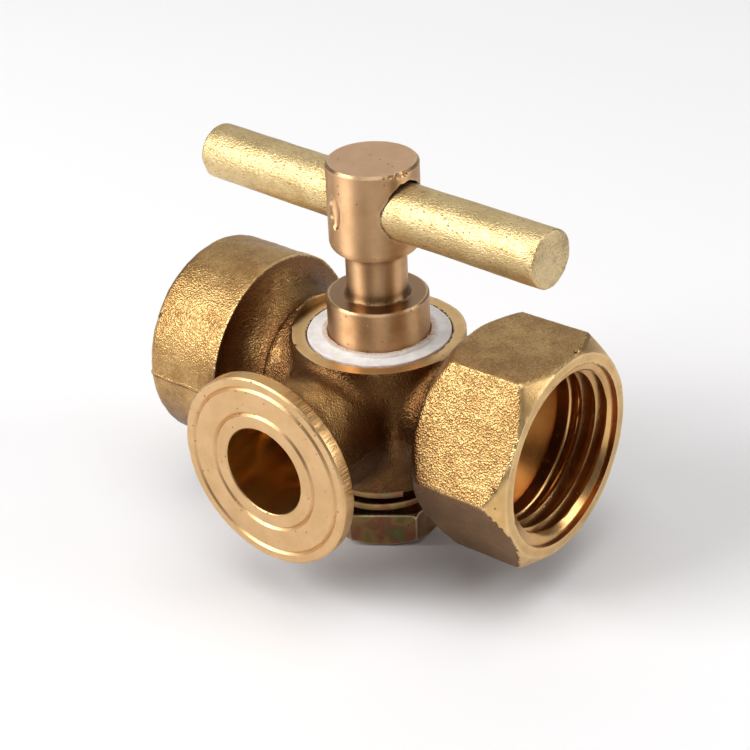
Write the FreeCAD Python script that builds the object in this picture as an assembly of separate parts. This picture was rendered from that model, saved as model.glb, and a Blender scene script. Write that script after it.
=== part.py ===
import FreeCAD, Part
import math
import os

# Three-way plug cock with two half-inch pipe ports in line, a disc-flange port at right
# angles to them, and a tapered plug turned by a T-bar.  All lengths are in millimetres.
#
# Working axes while the pieces are drawn: the plug turns about Z, the two in-line ports lie
# on X (hexagon towards +X, round socket towards -X) and the flange faces -Y.  Every finished
# piece is then moved so that the origin is the centre of the flange's bore on its front face.

# ---- ports in line ----
PIPE_THREAD_MINOR_R = 9.315       # half-inch parallel pipe thread, minor radius
HEX_ACROSS_FLATS = 24.0
HEX_FACE_X = 25.9
HEX_BACK_X = 13.3
HEX_BACK_CORNER_X = 15.3
HEX_FRONT_CORNER_X = 24.1
HEX_FACE_R = 11.95                # circle that bounds the hexagon's flat front face
HEX_MOUTH_R = 10.7                # shallow counterbore around the thread's mouth
HEX_MOUTH_DEPTH = 0.4
HEX_COUNTERSINK_R = 9.95
HEX_COUNTERSINK_DEPTH = 1.0
HEX_THREAD_END_X = 18.6           # inner end of the bore's full-size wall
DRILL_POINT_ANGLE = 118.0

SOCKET_R = 12.65
SOCKET_END_X = -26.3
SOCKET_SHOULDER_X = -15.3
SOCKET_EDGE_RADIUS = 1.2
SOCKET_MOUTH_R = 10.6
SOCKET_MOUTH_DEPTH = 1.3
SOCKET_THREAD_END_X = -16.4
SOCKET_FILLET_R = 4.0             # concave run from the socket's shoulder to the waist
WAIST_R = SOCKET_R - SOCKET_FILLET_R
LEFT_CORE_R = 9.1
LEFT_CORE_END_X = -10.7

RIGHT_NECK_R = 7.6
RIGHT_NECK_ARC_START_X = 9.3
RIGHT_NECK_FILLET_R = 4.0

# ---- boss ----
BOSS_R = 10.2
BOSS_TOP_Z = 8.0
BOSS_TAPER_Z = -3.0
BOSS_BOTTOM_Z = -8.9
BOSS_BOTTOM_R = 8.95
FACING_CUT_R = 10.35              # circle swept by the tool that faced the boss
GLAND_R = 8.49
GLAND_FLOOR_Z = 5.6
GLAND_CHAMFER = 0.25
TRIM_PAD_WIDTH = 2.6
TRIM_PAD_HEIGHT = 3.2
TRIM_PAD_PROUD = 0.3
TRIM_PAD_AZIMUTH = -48.4

# ---- flange port ----
FLANGE_R = 11.55
FLANGE_FACE_Y = -21.6
FLANGE_THICKNESS = 1.85
FLANGE_EDGE_CHAMFER = 0.2
FLANGE_BORE_R = 5.35
FLANGE_BORE_END_Y = -9.2          # from here the bore narrows to the passage
FLANGE_NECK_R = 7.2
FLANGE_NECK_FILLET_R = 1.8
GROOVE_RADII = (7.12, 10.23)
GROOVE_HALF_WIDTH = 0.28
GROOVE_DEPTH = 0.3
PASSAGE_R = 4.8                   # cored passages between the ports and the plug

# ---- plug ----
PLUG_TAPER_RATIO = 7.0            # one in seven on the diameter
PLUG_CONE_BOTTOM_Z = -8.35
PLUG_CONE_TOP_Z = 5.55
PLUG_CONE_BOTTOM_R = 6.8
PLUG_RUNNING_GAP = 0.03
PLUG_PORT_R = 4.6
COLLAR_R = 5.95
COLLAR_TOP_Z = 13.15
COLLAR_CHAMFER = 0.25
NECK_R = 3.55
NECK_FILLET_R = 0.5
HEAD_R = 5.27
HEAD_BOTTOM_Z = 18.9
HEAD_TOP_Z = 29.6
HEAD_BOTTOM_ROUND = 1.3
HEAD_TOP_CHAMFER = 0.35
STAKE_WHEEL_R = 4.6               # rounded wheel whose rim makes the upright stake mark
STAKE_HALF_WIDTH = 0.95
STAKE_DEPTH = 0.45
STAKE_TURN = -13.8                # the mark's turn from the head's front, degrees
TAIL_R = 4.0                      # M8 threaded tail
TAIL_CORE_R = 3.4
TAIL_FLAT_HALF_WIDTH = 3.2        # two flats that key the flat washer
TAIL_FLAT_BOTTOM_Z = -9.5
TAIL_BOTTOM_Z = -17.3
THREAD_GAP = 0.02                 # between the plain cylinders that stand for the M8 thread

# ---- handle ----
BAR_R = 3.3
BAR_HOLE_GAP = 0.02
BAR_Z = 24.5
BAR_RIGHT_END = 24.7
BAR_LEFT_END = -24.5
BAR_YAW = -3.7                    # the handle's turn from the line of the ports, degrees
BAR_END_CHAMFER = 0.3

# ---- packing and bottom fastening ----
RING_GAP = 0.05
RING_BOTTOM_Z = 5.62
RING_TOP_Z = 8.2
RING_LIP_R = 6.75
RING_LIP_TOP_Z = 8.5
WASHER_R = 8.3
WASHER_TOP_Z = -8.95
WASHER_THICKNESS = 0.45
WASHER_HOLE_GAP = 0.05
SPRING_OUTER_R = 7.5
SPRING_INNER_R = 4.9
SPRING_WIRE = 0.95
SPRING_TOP_Z = -9.5
SPRING_BOTTOM_Z = -13.2
SPRING_END_AZIMUTH = -36.0        # where the upper coil's cut end shows
SPRING_TURNS = 1.6
SPRING_SLABS_PER_TURN = 30
NUT_ACROSS_FLATS = 14.0
NUT_TOP_Z = -13.25
NUT_BOTTOM_Z = -17.75
NUT_YAW = 34.0                    # turn of the nut's corner from +X, degrees
NUT_CHAMFER_R = 6.75
NUT_CHAMFER_HEIGHT = 0.9

X_AXIS = FreeCAD.Vector(1, 0, 0)
Y_AXIS = FreeCAD.Vector(0, 1, 0)
Z_AXIS = FreeCAD.Vector(0, 0, 1)
CENTRE = FreeCAD.Vector(0, 0, 0)
TO_ORIGIN = FreeCAD.Vector(0, -FLANGE_FACE_Y, 0)
CLEARANCE = 1.0                   # overshoot that makes a cutter pass a face cleanly


def plane_point(axial, radial, axis):
    """Return the point at an axial and a radial distance in the half plane beside an axis."""
    if axis is Z_AXIS:
        return FreeCAD.Vector(radial, 0, axial)
    if axis is Y_AXIS:
        return FreeCAD.Vector(radial, axial, 0)
    return FreeCAD.Vector(axial, 0, radial)


def revolved(outline, axis):
    """Turn a closed outline of (axial, radial) corners about an axis into a solid.

    A corner given as (axial, radial, middle_axial, middle_radial) is reached along an arc
    through the middle point instead of along a straight line.
    """
    edges = []
    previous = plane_point(outline[-1][0], outline[-1][1], axis)
    for corner in outline:
        point = plane_point(corner[0], corner[1], axis)
        if len(corner) == 4:
            middle = plane_point(corner[2], corner[3], axis)
            edges.append(Part.Arc(previous, middle, point).toShape())
        else:
            edges.append(Part.makeLine(previous, point))
        previous = point
    face = Part.Face(Part.Wire(edges))
    solid = face.revolve(CENTRE, axis, 360)
    return as_positive_solid(solid)


def as_positive_solid(shape):
    """Return the shape's solid with its faces turned outward."""
    solid = shape.Solids[0]
    if solid.Volume < 0:
        solid.reverse()
    return solid


def cylinder(radius, start, end, axis):
    """Return a cylinder about an axis through the centre, between two axial positions."""
    low = min(start, end)
    return Part.makeCylinder(radius, abs(end - start), axis * low, axis)


def hexagon_prism_x(across_flats, start, end):
    """Return a hexagonal bar along X whose upper and lower flats are level."""
    corner_r = across_flats / math.sqrt(3.0)
    corners = []
    for index in range(7):
        angle = math.radians(60.0 * index)
        corners.append(FreeCAD.Vector(start, corner_r * math.cos(angle), corner_r * math.sin(angle)))
    face = Part.Face(Part.makePolygon(corners))
    return face.extrude(X_AXIS * (end - start))


def hexagon_prism_z(across_flats, start, end, yaw):
    """Return a hexagonal bar along Z with one corner turned by yaw degrees from +X."""
    corner_r = across_flats / math.sqrt(3.0)
    corners = []
    for index in range(7):
        angle = math.radians(yaw + 60.0 * index)
        corners.append(FreeCAD.Vector(corner_r * math.cos(angle), corner_r * math.sin(angle), start))
    face = Part.Face(Part.makePolygon(corners))
    return face.extrude(Z_AXIS * (end - start))


def cone_r(z):
    """Return the plug's radius at a height on its taper."""
    return PLUG_CONE_BOTTOM_R + (z - PLUG_CONE_BOTTOM_Z) / (2.0 * PLUG_TAPER_RATIO)


def socket_outside():
    """Return the round socket, its concave waist and the left half of the core."""
    arc_offset = SOCKET_FILLET_R * math.sqrt(0.5)
    waist_x = SOCKET_SHOULDER_X + SOCKET_FILLET_R
    edge_offset = SOCKET_EDGE_RADIUS * (1.0 - math.sqrt(0.5))
    return revolved([
        (SOCKET_END_X, 0),
        (0, 0),
        (0, LEFT_CORE_R),
        (LEFT_CORE_END_X, LEFT_CORE_R),
        (waist_x, WAIST_R),
        (SOCKET_SHOULDER_X, SOCKET_R, waist_x - arc_offset, SOCKET_R - arc_offset),
        (SOCKET_END_X + SOCKET_EDGE_RADIUS, SOCKET_R),
        (SOCKET_END_X, SOCKET_R - SOCKET_EDGE_RADIUS,
         SOCKET_END_X + edge_offset, SOCKET_R - edge_offset),
    ], X_AXIS)


def hexagon_outside():
    """Return the hexagonal port with its corners bevelled at both ends, and its neck."""
    corner_r = HEX_ACROSS_FLATS / math.sqrt(3.0)
    inner_r = 0.5 * HEX_ACROSS_FLATS
    bar = hexagon_prism_x(HEX_ACROSS_FLATS, HEX_BACK_X, HEX_FACE_X)
    envelope = revolved([
        (HEX_BACK_X, 0),
        (HEX_FACE_X, 0),
        (HEX_FACE_X, HEX_FACE_R),
        (HEX_FRONT_CORNER_X, corner_r),
        (HEX_BACK_CORNER_X, corner_r),
        (HEX_BACK_X, inner_r),
    ], X_AXIS)
    arc_offset = RIGHT_NECK_FILLET_R * math.sqrt(0.5)
    arc_centre_r = RIGHT_NECK_R + RIGHT_NECK_FILLET_R
    neck = revolved([
        (0, 0),
        (HEX_BACK_X + CLEARANCE, 0),
        (HEX_BACK_X + CLEARANCE, arc_centre_r),
        (RIGHT_NECK_ARC_START_X + RIGHT_NECK_FILLET_R, arc_centre_r),
        (RIGHT_NECK_ARC_START_X, RIGHT_NECK_R,
         RIGHT_NECK_ARC_START_X + arc_offset, arc_centre_r - arc_offset),
        (0, RIGHT_NECK_R),
    ], X_AXIS)
    return bar.common(envelope).fuse(neck)


def flange_outside():
    """Return the flange disc and the neck behind it."""
    back_y = FLANGE_FACE_Y + FLANGE_THICKNESS
    fillet_y = back_y + FLANGE_NECK_FILLET_R
    arc_offset = FLANGE_NECK_FILLET_R * (1.0 - math.sqrt(0.5))
    return revolved([
        (0, 0),
        (FLANGE_FACE_Y, 0),
        (FLANGE_FACE_Y, FLANGE_R - FLANGE_EDGE_CHAMFER),
        (FLANGE_FACE_Y + FLANGE_EDGE_CHAMFER, FLANGE_R),
        (back_y - FLANGE_EDGE_CHAMFER, FLANGE_R),
        (back_y, FLANGE_R - FLANGE_EDGE_CHAMFER),
        (back_y, FLANGE_NECK_R + FLANGE_NECK_FILLET_R),
        (fillet_y, FLANGE_NECK_R, back_y + arc_offset, FLANGE_NECK_R + arc_offset),
        (0, FLANGE_NECK_R),
    ], Y_AXIS)


def boss_outside():
    """Return the upright boss that holds the plug."""
    return revolved([
        (BOSS_BOTTOM_Z, 0),
        (BOSS_BOTTOM_Z, BOSS_BOTTOM_R - FLANGE_EDGE_CHAMFER),
        (BOSS_BOTTOM_Z + FLANGE_EDGE_CHAMFER, BOSS_BOTTOM_R),
        (BOSS_TAPER_Z, BOSS_R),
        (BOSS_TOP_Z, BOSS_R),
        (BOSS_TOP_Z, 0),
    ], Z_AXIS)


def trim_pad():
    """Return the small pad left on the boss between the flange neck and the hexagon."""
    pad = Part.makeBox(BOSS_R + TRIM_PAD_PROUD, TRIM_PAD_WIDTH, TRIM_PAD_HEIGHT,
                       FreeCAD.Vector(0, -0.5 * TRIM_PAD_WIDTH, -0.5 * TRIM_PAD_HEIGHT))
    pad.rotate(CENTRE, Z_AXIS, TRIM_PAD_AZIMUTH)
    return pad


def gland_and_taper():
    """Return the cutter for the plug's tapered seat and the packing's counterbore."""
    low_z = BOSS_BOTTOM_Z - CLEARANCE
    return revolved([
        (low_z, 0),
        (low_z, cone_r(low_z) + PLUG_RUNNING_GAP),
        (GLAND_FLOOR_Z, cone_r(GLAND_FLOOR_Z) + PLUG_RUNNING_GAP),
        (GLAND_FLOOR_Z, GLAND_R),
        (BOSS_TOP_Z - GLAND_CHAMFER, GLAND_R),
        (BOSS_TOP_Z + CLEARANCE, GLAND_R + GLAND_CHAMFER + CLEARANCE),
        (BOSS_TOP_Z + CLEARANCE, 0),
    ], Z_AXIS)


def facing_cut(face_z, direction):
    """Return the cutter that clears the casting beyond one of the boss's machined faces."""
    return cylinder(FACING_CUT_R, face_z, face_z + direction * 3.0 * BOSS_R, Z_AXIS)


def drill_point_length(radius):
    """Return the length over which a drill's point narrows from a bore to the passage."""
    return (radius - PASSAGE_R) / math.tan(math.radians(0.5 * DRILL_POINT_ANGLE))


def hexagon_port_cut():
    """Return the cutter for the hexagonal port: counterbore, thread wall and drill point."""
    point_length = drill_point_length(PIPE_THREAD_MINOR_R)
    sink_x = HEX_FACE_X - HEX_COUNTERSINK_DEPTH
    step_x = HEX_FACE_X - HEX_MOUTH_DEPTH
    return revolved([
        (0, 0),
        (0, PASSAGE_R),
        (HEX_THREAD_END_X - point_length, PASSAGE_R),
        (HEX_THREAD_END_X, PIPE_THREAD_MINOR_R),
        (sink_x, PIPE_THREAD_MINOR_R),
        (step_x, HEX_COUNTERSINK_R),
        (step_x, HEX_MOUTH_R),
        (HEX_FACE_X + CLEARANCE, HEX_MOUTH_R),
        (HEX_FACE_X + CLEARANCE, 0),
    ], X_AXIS)


def socket_port_cut():
    """Return the cutter for the round socket: countersink, thread wall and drill point."""
    point_length = drill_point_length(PIPE_THREAD_MINOR_R)
    return revolved([
        (0, 0),
        (SOCKET_END_X - CLEARANCE, 0),
        (SOCKET_END_X - CLEARANCE, SOCKET_MOUTH_R + CLEARANCE),
        (SOCKET_END_X + SOCKET_MOUTH_DEPTH, PIPE_THREAD_MINOR_R),
        (SOCKET_THREAD_END_X, PIPE_THREAD_MINOR_R),
        (SOCKET_THREAD_END_X + point_length, PASSAGE_R),
        (0, PASSAGE_R),
    ], X_AXIS)


def flange_port_cut():
    """Return the cutter for the flange's bore and its drill point."""
    point_length = drill_point_length(FLANGE_BORE_R)
    return revolved([
        (0, 0),
        (FLANGE_FACE_Y - CLEARANCE, 0),
        (FLANGE_FACE_Y - CLEARANCE, FLANGE_BORE_R),
        (FLANGE_BORE_END_Y, FLANGE_BORE_R),
        (FLANGE_BORE_END_Y + point_length, PASSAGE_R),
        (0, PASSAGE_R),
    ], Y_AXIS)


def face_groove(radius):
    """Return the cutter for one V-shaped sealing groove in the flange's face."""
    slope = GROOVE_HALF_WIDTH / GROOVE_DEPTH
    rise = 0.5 * CLEARANCE
    outer_half = GROOVE_HALF_WIDTH + slope * rise
    return revolved([
        (FLANGE_FACE_Y + GROOVE_DEPTH, radius),
        (FLANGE_FACE_Y - rise, radius - outer_half),
        (FLANGE_FACE_Y - rise, radius + outer_half),
    ], Y_AXIS)


def make_body():
    """Return the one-piece cast and machined valve body."""
    outside = boss_outside()
    for piece in (socket_outside(), hexagon_outside(), flange_outside(), trim_pad()):
        outside = outside.fuse(piece)
    outside = outside.cut(facing_cut(BOSS_TOP_Z, 1.0))
    outside = outside.cut(facing_cut(BOSS_BOTTOM_Z, -1.0))
    cutters = [gland_and_taper(), hexagon_port_cut(), socket_port_cut(), flange_port_cut()]
    for radius in GROOVE_RADII:
        cutters.append(face_groove(radius))
    for cutter in cutters:
        outside = outside.cut(cutter)
    return as_positive_solid(outside.removeSplitter())


def make_plug():
    """Return the turned plug: head, neck, collar, ported taper and threaded tail."""
    top_r = cone_r(PLUG_CONE_TOP_Z)
    round_offset = HEAD_BOTTOM_ROUND * (1.0 - math.sqrt(0.5))
    fillet_offset = NECK_FILLET_R * (1.0 - math.sqrt(0.5))
    plug = revolved([
        (TAIL_BOTTOM_Z, 0),
        (TAIL_BOTTOM_Z, TAIL_CORE_R),
        (TAIL_BOTTOM_Z + TAIL_R - TAIL_CORE_R, TAIL_R),
        (PLUG_CONE_BOTTOM_Z, TAIL_R),
        (PLUG_CONE_BOTTOM_Z, PLUG_CONE_BOTTOM_R),
        (PLUG_CONE_TOP_Z, top_r),
        (PLUG_CONE_TOP_Z, COLLAR_R),
        (COLLAR_TOP_Z - COLLAR_CHAMFER, COLLAR_R),
        (COLLAR_TOP_Z, COLLAR_R - COLLAR_CHAMFER),
        (COLLAR_TOP_Z, NECK_R + NECK_FILLET_R),
        (COLLAR_TOP_Z + NECK_FILLET_R, NECK_R,
         COLLAR_TOP_Z + fillet_offset, NECK_R + fillet_offset),
        (HEAD_BOTTOM_Z, NECK_R),
        (HEAD_BOTTOM_Z, HEAD_R - HEAD_BOTTOM_ROUND),
        (HEAD_BOTTOM_Z + HEAD_BOTTOM_ROUND, HEAD_R,
         HEAD_BOTTOM_Z + round_offset, HEAD_R - round_offset),
        (HEAD_TOP_Z - HEAD_TOP_CHAMFER, HEAD_R),
        (HEAD_TOP_Z, HEAD_R - HEAD_TOP_CHAMFER),
        (HEAD_TOP_Z, 0),
    ], Z_AXIS)
    run_port = cylinder(PLUG_PORT_R, -2.0 * top_r, 2.0 * top_r, X_AXIS)
    branch_port = cylinder(PLUG_PORT_R, -2.0 * top_r, 0, Y_AXIS)
    plug = plug.cut(run_port)
    plug = plug.cut(branch_port)
    bar_hole = cylinder(BAR_R + BAR_HOLE_GAP, -2.0 * HEAD_R, 2.0 * HEAD_R, X_AXIS)
    bar_hole.translate(Z_AXIS * BAR_Z)
    plug = plug.cut(bar_hole)
    flat_height = PLUG_CONE_BOTTOM_Z - TAIL_FLAT_BOTTOM_Z
    for side in (1, -1):
        low_x = TAIL_FLAT_HALF_WIDTH if side > 0 else -TAIL_FLAT_HALF_WIDTH - TAIL_R
        flat = Part.makeBox(TAIL_R, 2.0 * TAIL_R, flat_height,
                            FreeCAD.Vector(low_x, -TAIL_R, TAIL_FLAT_BOTTOM_Z))
        plug = plug.cut(flat)
    plug = plug.cut(stake_mark())
    return as_positive_solid(turned_with_handle(plug))


def stake_mark():
    """Return the cutter for the upright mark that stakes the bar in the head."""
    rim_r = STAKE_WHEEL_R - STAKE_DEPTH
    wheel = revolved([
        (-STAKE_HALF_WIDTH, 0),
        (STAKE_HALF_WIDTH, 0),
        (STAKE_HALF_WIDTH, rim_r),
        (-STAKE_HALF_WIDTH, rim_r, 0, STAKE_WHEEL_R),
    ], X_AXIS)
    wheel.translate(FreeCAD.Vector(0, -HEAD_R - rim_r, BAR_Z))
    wheel.rotate(CENTRE, Z_AXIS, STAKE_TURN)
    return wheel


def turned_with_handle(shape):
    """Turn a piece of the plug assembly to the handle's resting direction."""
    shape.rotate(CENTRE, Z_AXIS, BAR_YAW)
    return shape


def make_tee_bar():
    """Return the round bar that crosses the plug's head."""
    small_r = BAR_R - BAR_END_CHAMFER
    bar = revolved([
        (BAR_LEFT_END, 0),
        (BAR_RIGHT_END, 0),
        (BAR_RIGHT_END, small_r),
        (BAR_RIGHT_END - BAR_END_CHAMFER, BAR_R),
        (BAR_LEFT_END + BAR_END_CHAMFER, BAR_R),
        (BAR_LEFT_END, small_r),
    ], X_AXIS)
    bar.translate(Z_AXIS * BAR_Z)
    return turned_with_handle(bar)


def make_packing_ring():
    """Return the white sealing ring in the boss, with a raised inner lip."""
    inner_r = COLLAR_R + RING_GAP
    outer_r = GLAND_R - RING_GAP
    return revolved([
        (RING_BOTTOM_Z, inner_r),
        (RING_BOTTOM_Z, outer_r),
        (RING_TOP_Z, outer_r),
        (RING_TOP_Z, RING_LIP_R),
        (RING_LIP_TOP_Z, RING_LIP_R),
        (RING_LIP_TOP_Z, inner_r),
    ], Z_AXIS)


def make_flat_washer():
    """Return the flat washer, its hole flattened on two sides to follow the tail."""
    bottom_z = WASHER_TOP_Z - WASHER_THICKNESS
    disc = cylinder(WASHER_R, bottom_z, WASHER_TOP_Z, Z_AXIS)
    hole = cylinder(TAIL_R + WASHER_HOLE_GAP, bottom_z - CLEARANCE, WASHER_TOP_Z + CLEARANCE, Z_AXIS)
    half_width = TAIL_FLAT_HALF_WIDTH + WASHER_HOLE_GAP
    slot = Part.makeBox(2.0 * half_width, 4.0 * TAIL_R, 4.0 * CLEARANCE,
                        FreeCAD.Vector(-half_width, -2.0 * TAIL_R, bottom_z - CLEARANCE))
    washer = disc.cut(hole.common(slot))
    return as_positive_solid(turned_with_handle(washer))


def make_spring_washer():
    """Return the flat-wire spring washer, a helical strip of rectangular section."""
    steps = int(SPRING_TURNS * SPRING_SLABS_PER_TURN)
    drop = SPRING_TOP_Z - SPRING_WIRE - SPRING_BOTTOM_Z
    sections = []
    for step in range(steps + 1):
        share = step / steps
        angle = math.radians(SPRING_END_AZIMUTH - 360.0 * SPRING_TURNS * share)
        top_z = SPRING_TOP_Z - drop * share
        radial = FreeCAD.Vector(math.cos(angle), math.sin(angle), 0)
        inner = radial * SPRING_INNER_R
        outer = radial * SPRING_OUTER_R
        corners = [inner + Z_AXIS * top_z, outer + Z_AXIS * top_z]
        corners += [outer + Z_AXIS * (top_z - SPRING_WIRE), inner + Z_AXIS * (top_z - SPRING_WIRE)]
        sections.append(Part.makePolygon(corners + [corners[0]]))
    strip = Part.makeLoft(sections, True, True)
    return as_positive_solid(strip)


def make_hex_nut():
    """Return the nut under the spring washer, bevelled on its lower side."""
    corner_r = NUT_ACROSS_FLATS / math.sqrt(3.0)
    bar = hexagon_prism_z(NUT_ACROSS_FLATS, NUT_BOTTOM_Z, NUT_TOP_Z, NUT_YAW)
    envelope = revolved([
        (NUT_BOTTOM_Z, TAIL_R + THREAD_GAP),
        (NUT_BOTTOM_Z, NUT_CHAMFER_R),
        (NUT_BOTTOM_Z + NUT_CHAMFER_HEIGHT, corner_r),
        (NUT_TOP_Z, corner_r),
        (NUT_TOP_Z, TAIL_R + THREAD_GAP),
    ], Z_AXIS)
    return as_positive_solid(bar.common(envelope))


def main():
    """Build each piece, move it to the origin at the flange and write its file."""
    os.makedirs("parts", exist_ok=True)
    pieces = {
        "valve_body": make_body(),
        "plug": make_plug(),
        "tee_bar": make_tee_bar(),
        "packing_ring": make_packing_ring(),
        "flat_washer": make_flat_washer(),
        "spring_washer": make_spring_washer(),
        "hex_nut": make_hex_nut(),
    }
    for name, shape in pieces.items():
        shape.translate(TO_ORIGIN)
        shape.exportStep("parts/" + name + ".step")
        print(name, "volume mm3", round(shape.Volume, 1), "solids", len(shape.Solids),
              "valid", shape.isValid())


main()
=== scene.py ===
import logging
import math
from dataclasses import dataclass, field
from enum import Enum
from typing import Callable, Iterable, Optional, Sequence, Union

import bpy
import bmesh
import numpy as np
from mathutils import Matrix, Vector


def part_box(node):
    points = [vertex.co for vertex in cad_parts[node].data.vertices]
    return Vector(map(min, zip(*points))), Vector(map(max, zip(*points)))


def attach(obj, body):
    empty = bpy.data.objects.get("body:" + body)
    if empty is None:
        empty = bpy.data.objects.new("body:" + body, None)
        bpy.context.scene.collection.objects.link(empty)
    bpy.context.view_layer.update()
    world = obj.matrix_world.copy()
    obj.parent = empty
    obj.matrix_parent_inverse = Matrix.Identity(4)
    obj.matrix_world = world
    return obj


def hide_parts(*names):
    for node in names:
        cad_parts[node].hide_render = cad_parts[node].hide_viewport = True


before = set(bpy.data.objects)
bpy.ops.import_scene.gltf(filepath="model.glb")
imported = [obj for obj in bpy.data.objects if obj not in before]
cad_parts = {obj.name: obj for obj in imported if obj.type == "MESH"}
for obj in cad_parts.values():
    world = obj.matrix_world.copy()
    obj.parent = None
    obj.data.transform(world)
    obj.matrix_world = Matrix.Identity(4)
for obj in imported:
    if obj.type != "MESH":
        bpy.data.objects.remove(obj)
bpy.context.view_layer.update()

# A three-way plug valve: a forged brass body with a hexagonal and a round threaded port in
# line, a disc-flange port between them, and a tapered plug turned by a T-bar.  Meshes are
# drawn in millimetres about the plug's axis and written in metres in the frame of the CAD.

LOG = logging.getLogger("three_way_valve")

MM = 0.001
TAU = 2.0 * math.pi

Point = tuple[float, float]
Outline = list[Point]
Array = np.ndarray
Number = Union[int, float]


class Axis(Enum):
    """The line a turned piece is turned about."""

    X = 0
    Y = 1
    Z = 2


class Body(Enum):
    """The two rigid bodies of the valve, as the CAD names them."""

    HOUSING = "body"
    PLUG = "plug"


class Slot(Enum):
    """The record's material slots."""

    CAST_BRASS = "cast_brass"
    TURNED_BRONZE = "turned_bronze"
    BAR_BRASS = "bar_brass"
    PACKING_WHITE = "packing_white"
    ZINC_STEEL = "zinc_steel"


def middle(node: str) -> Vector:
    """Return the middle of a CAD node's box, in metres.

    Args:
        node: Name of the CAD node.

    Returns:
        The middle point of its box at rest.
    """
    low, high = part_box(node)
    return (Vector(low) + Vector(high)) / 2.0


PLUG_AXIS = Vector((middle("packing_ring").x, middle("packing_ring").y, 0.0))
HANDLE_YAW = math.radians(-3.7)       # the T-bar's turn from the line of the ports at rest
STANDS_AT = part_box("hex_nut")[0][2]   # height of the surface that the nut stands on


# ---------------------------------------------------------------- node trees


class Value:
    """One socket of a node tree; arithmetic on it adds the nodes that do the sum."""

    def __init__(self, tree: "Tree", socket: bpy.types.NodeSocket) -> None:
        """Wrap a socket of a tree."""
        self.tree = tree
        self.socket = socket

    def _is_vector(self, other: object) -> bool:
        """Tell whether this value or the other one has three parts."""
        kinds = {"VECTOR", "RGBA"}
        if self.socket.type in kinds:
            return True
        if isinstance(other, Value):
            return other.socket.type in kinds
        return isinstance(other, (tuple, Vector))

    def _sum(self, operation: str, first: object, second: object) -> "Value":
        """Add the Math or Vector Math node for a two-sided sum.

        Args:
            operation: The node's operation.
            first: Left side.
            second: Right side.

        Returns:
            The node's result.
        """
        if self._is_vector(first) or self._is_vector(second):
            first, second = (self.tree.spread(side) for side in (first, second))
            return self.tree.add("ShaderNodeVectorMath", {"operation": operation},
                                 {0: first, 1: second})
        return self.tree.add("ShaderNodeMath", {"operation": operation}, {0: first, 1: second})

    def __add__(self, other: object) -> "Value":
        """Return self + other."""
        return self._sum("ADD", self, other)

    def __radd__(self, other: object) -> "Value":
        """Return other + self."""
        return self._sum("ADD", other, self)

    def __sub__(self, other: object) -> "Value":
        """Return self - other."""
        return self._sum("SUBTRACT", self, other)

    def __rsub__(self, other: object) -> "Value":
        """Return other - self."""
        return self._sum("SUBTRACT", other, self)

    def __mul__(self, other: object) -> "Value":
        """Return self * other."""
        return self._sum("MULTIPLY", self, other)

    def __rmul__(self, other: object) -> "Value":
        """Return other * self."""
        return self._sum("MULTIPLY", other, self)

    def __truediv__(self, other: object) -> "Value":
        """Return self / other."""
        return self._sum("DIVIDE", self, other)

    def math(self, operation: str, second: object = 0.0, third: object = 0.0) -> "Value":
        """Return the result of any Math operation on this number.

        Args:
            operation: The Math node's operation, such as SINE or GREATER_THAN.
            second: Second input, where the operation has one.
            third: Third input, where the operation has one.

        Returns:
            The node's result.
        """
        return self.tree.add("ShaderNodeMath", {"operation": operation},
                             {0: self, 1: second, 2: third})

    def clamped(self, low: Number = 0.0, high: Number = 1.0) -> "Value":
        """Return the value held between two limits."""
        return self.tree.add("ShaderNodeClamp", {}, {"Value": self, "Min": low, "Max": high})

    def ramp(self, low: Number, high: Number) -> "Value":
        """Return 0 below low, 1 above high, and a smooth rise between.

        Args:
            low: Value at which the rise starts.
            high: Value at which the rise ends.

        Returns:
            The risen value, from 0 to 1.
        """
        return self.tree.add(
            "ShaderNodeMapRange", {"interpolation_type": "SMOOTHSTEP"},
            {"Value": self, "From Min": low, "From Max": high, "To Min": 0.0, "To Max": 1.0})

    def part(self, index: int) -> "Value":
        """Return one part of a vector: 0 for x, 1 for y, 2 for z."""
        return self.tree.add("ShaderNodeSeparateXYZ", {}, {0: self}, output=index)


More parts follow.
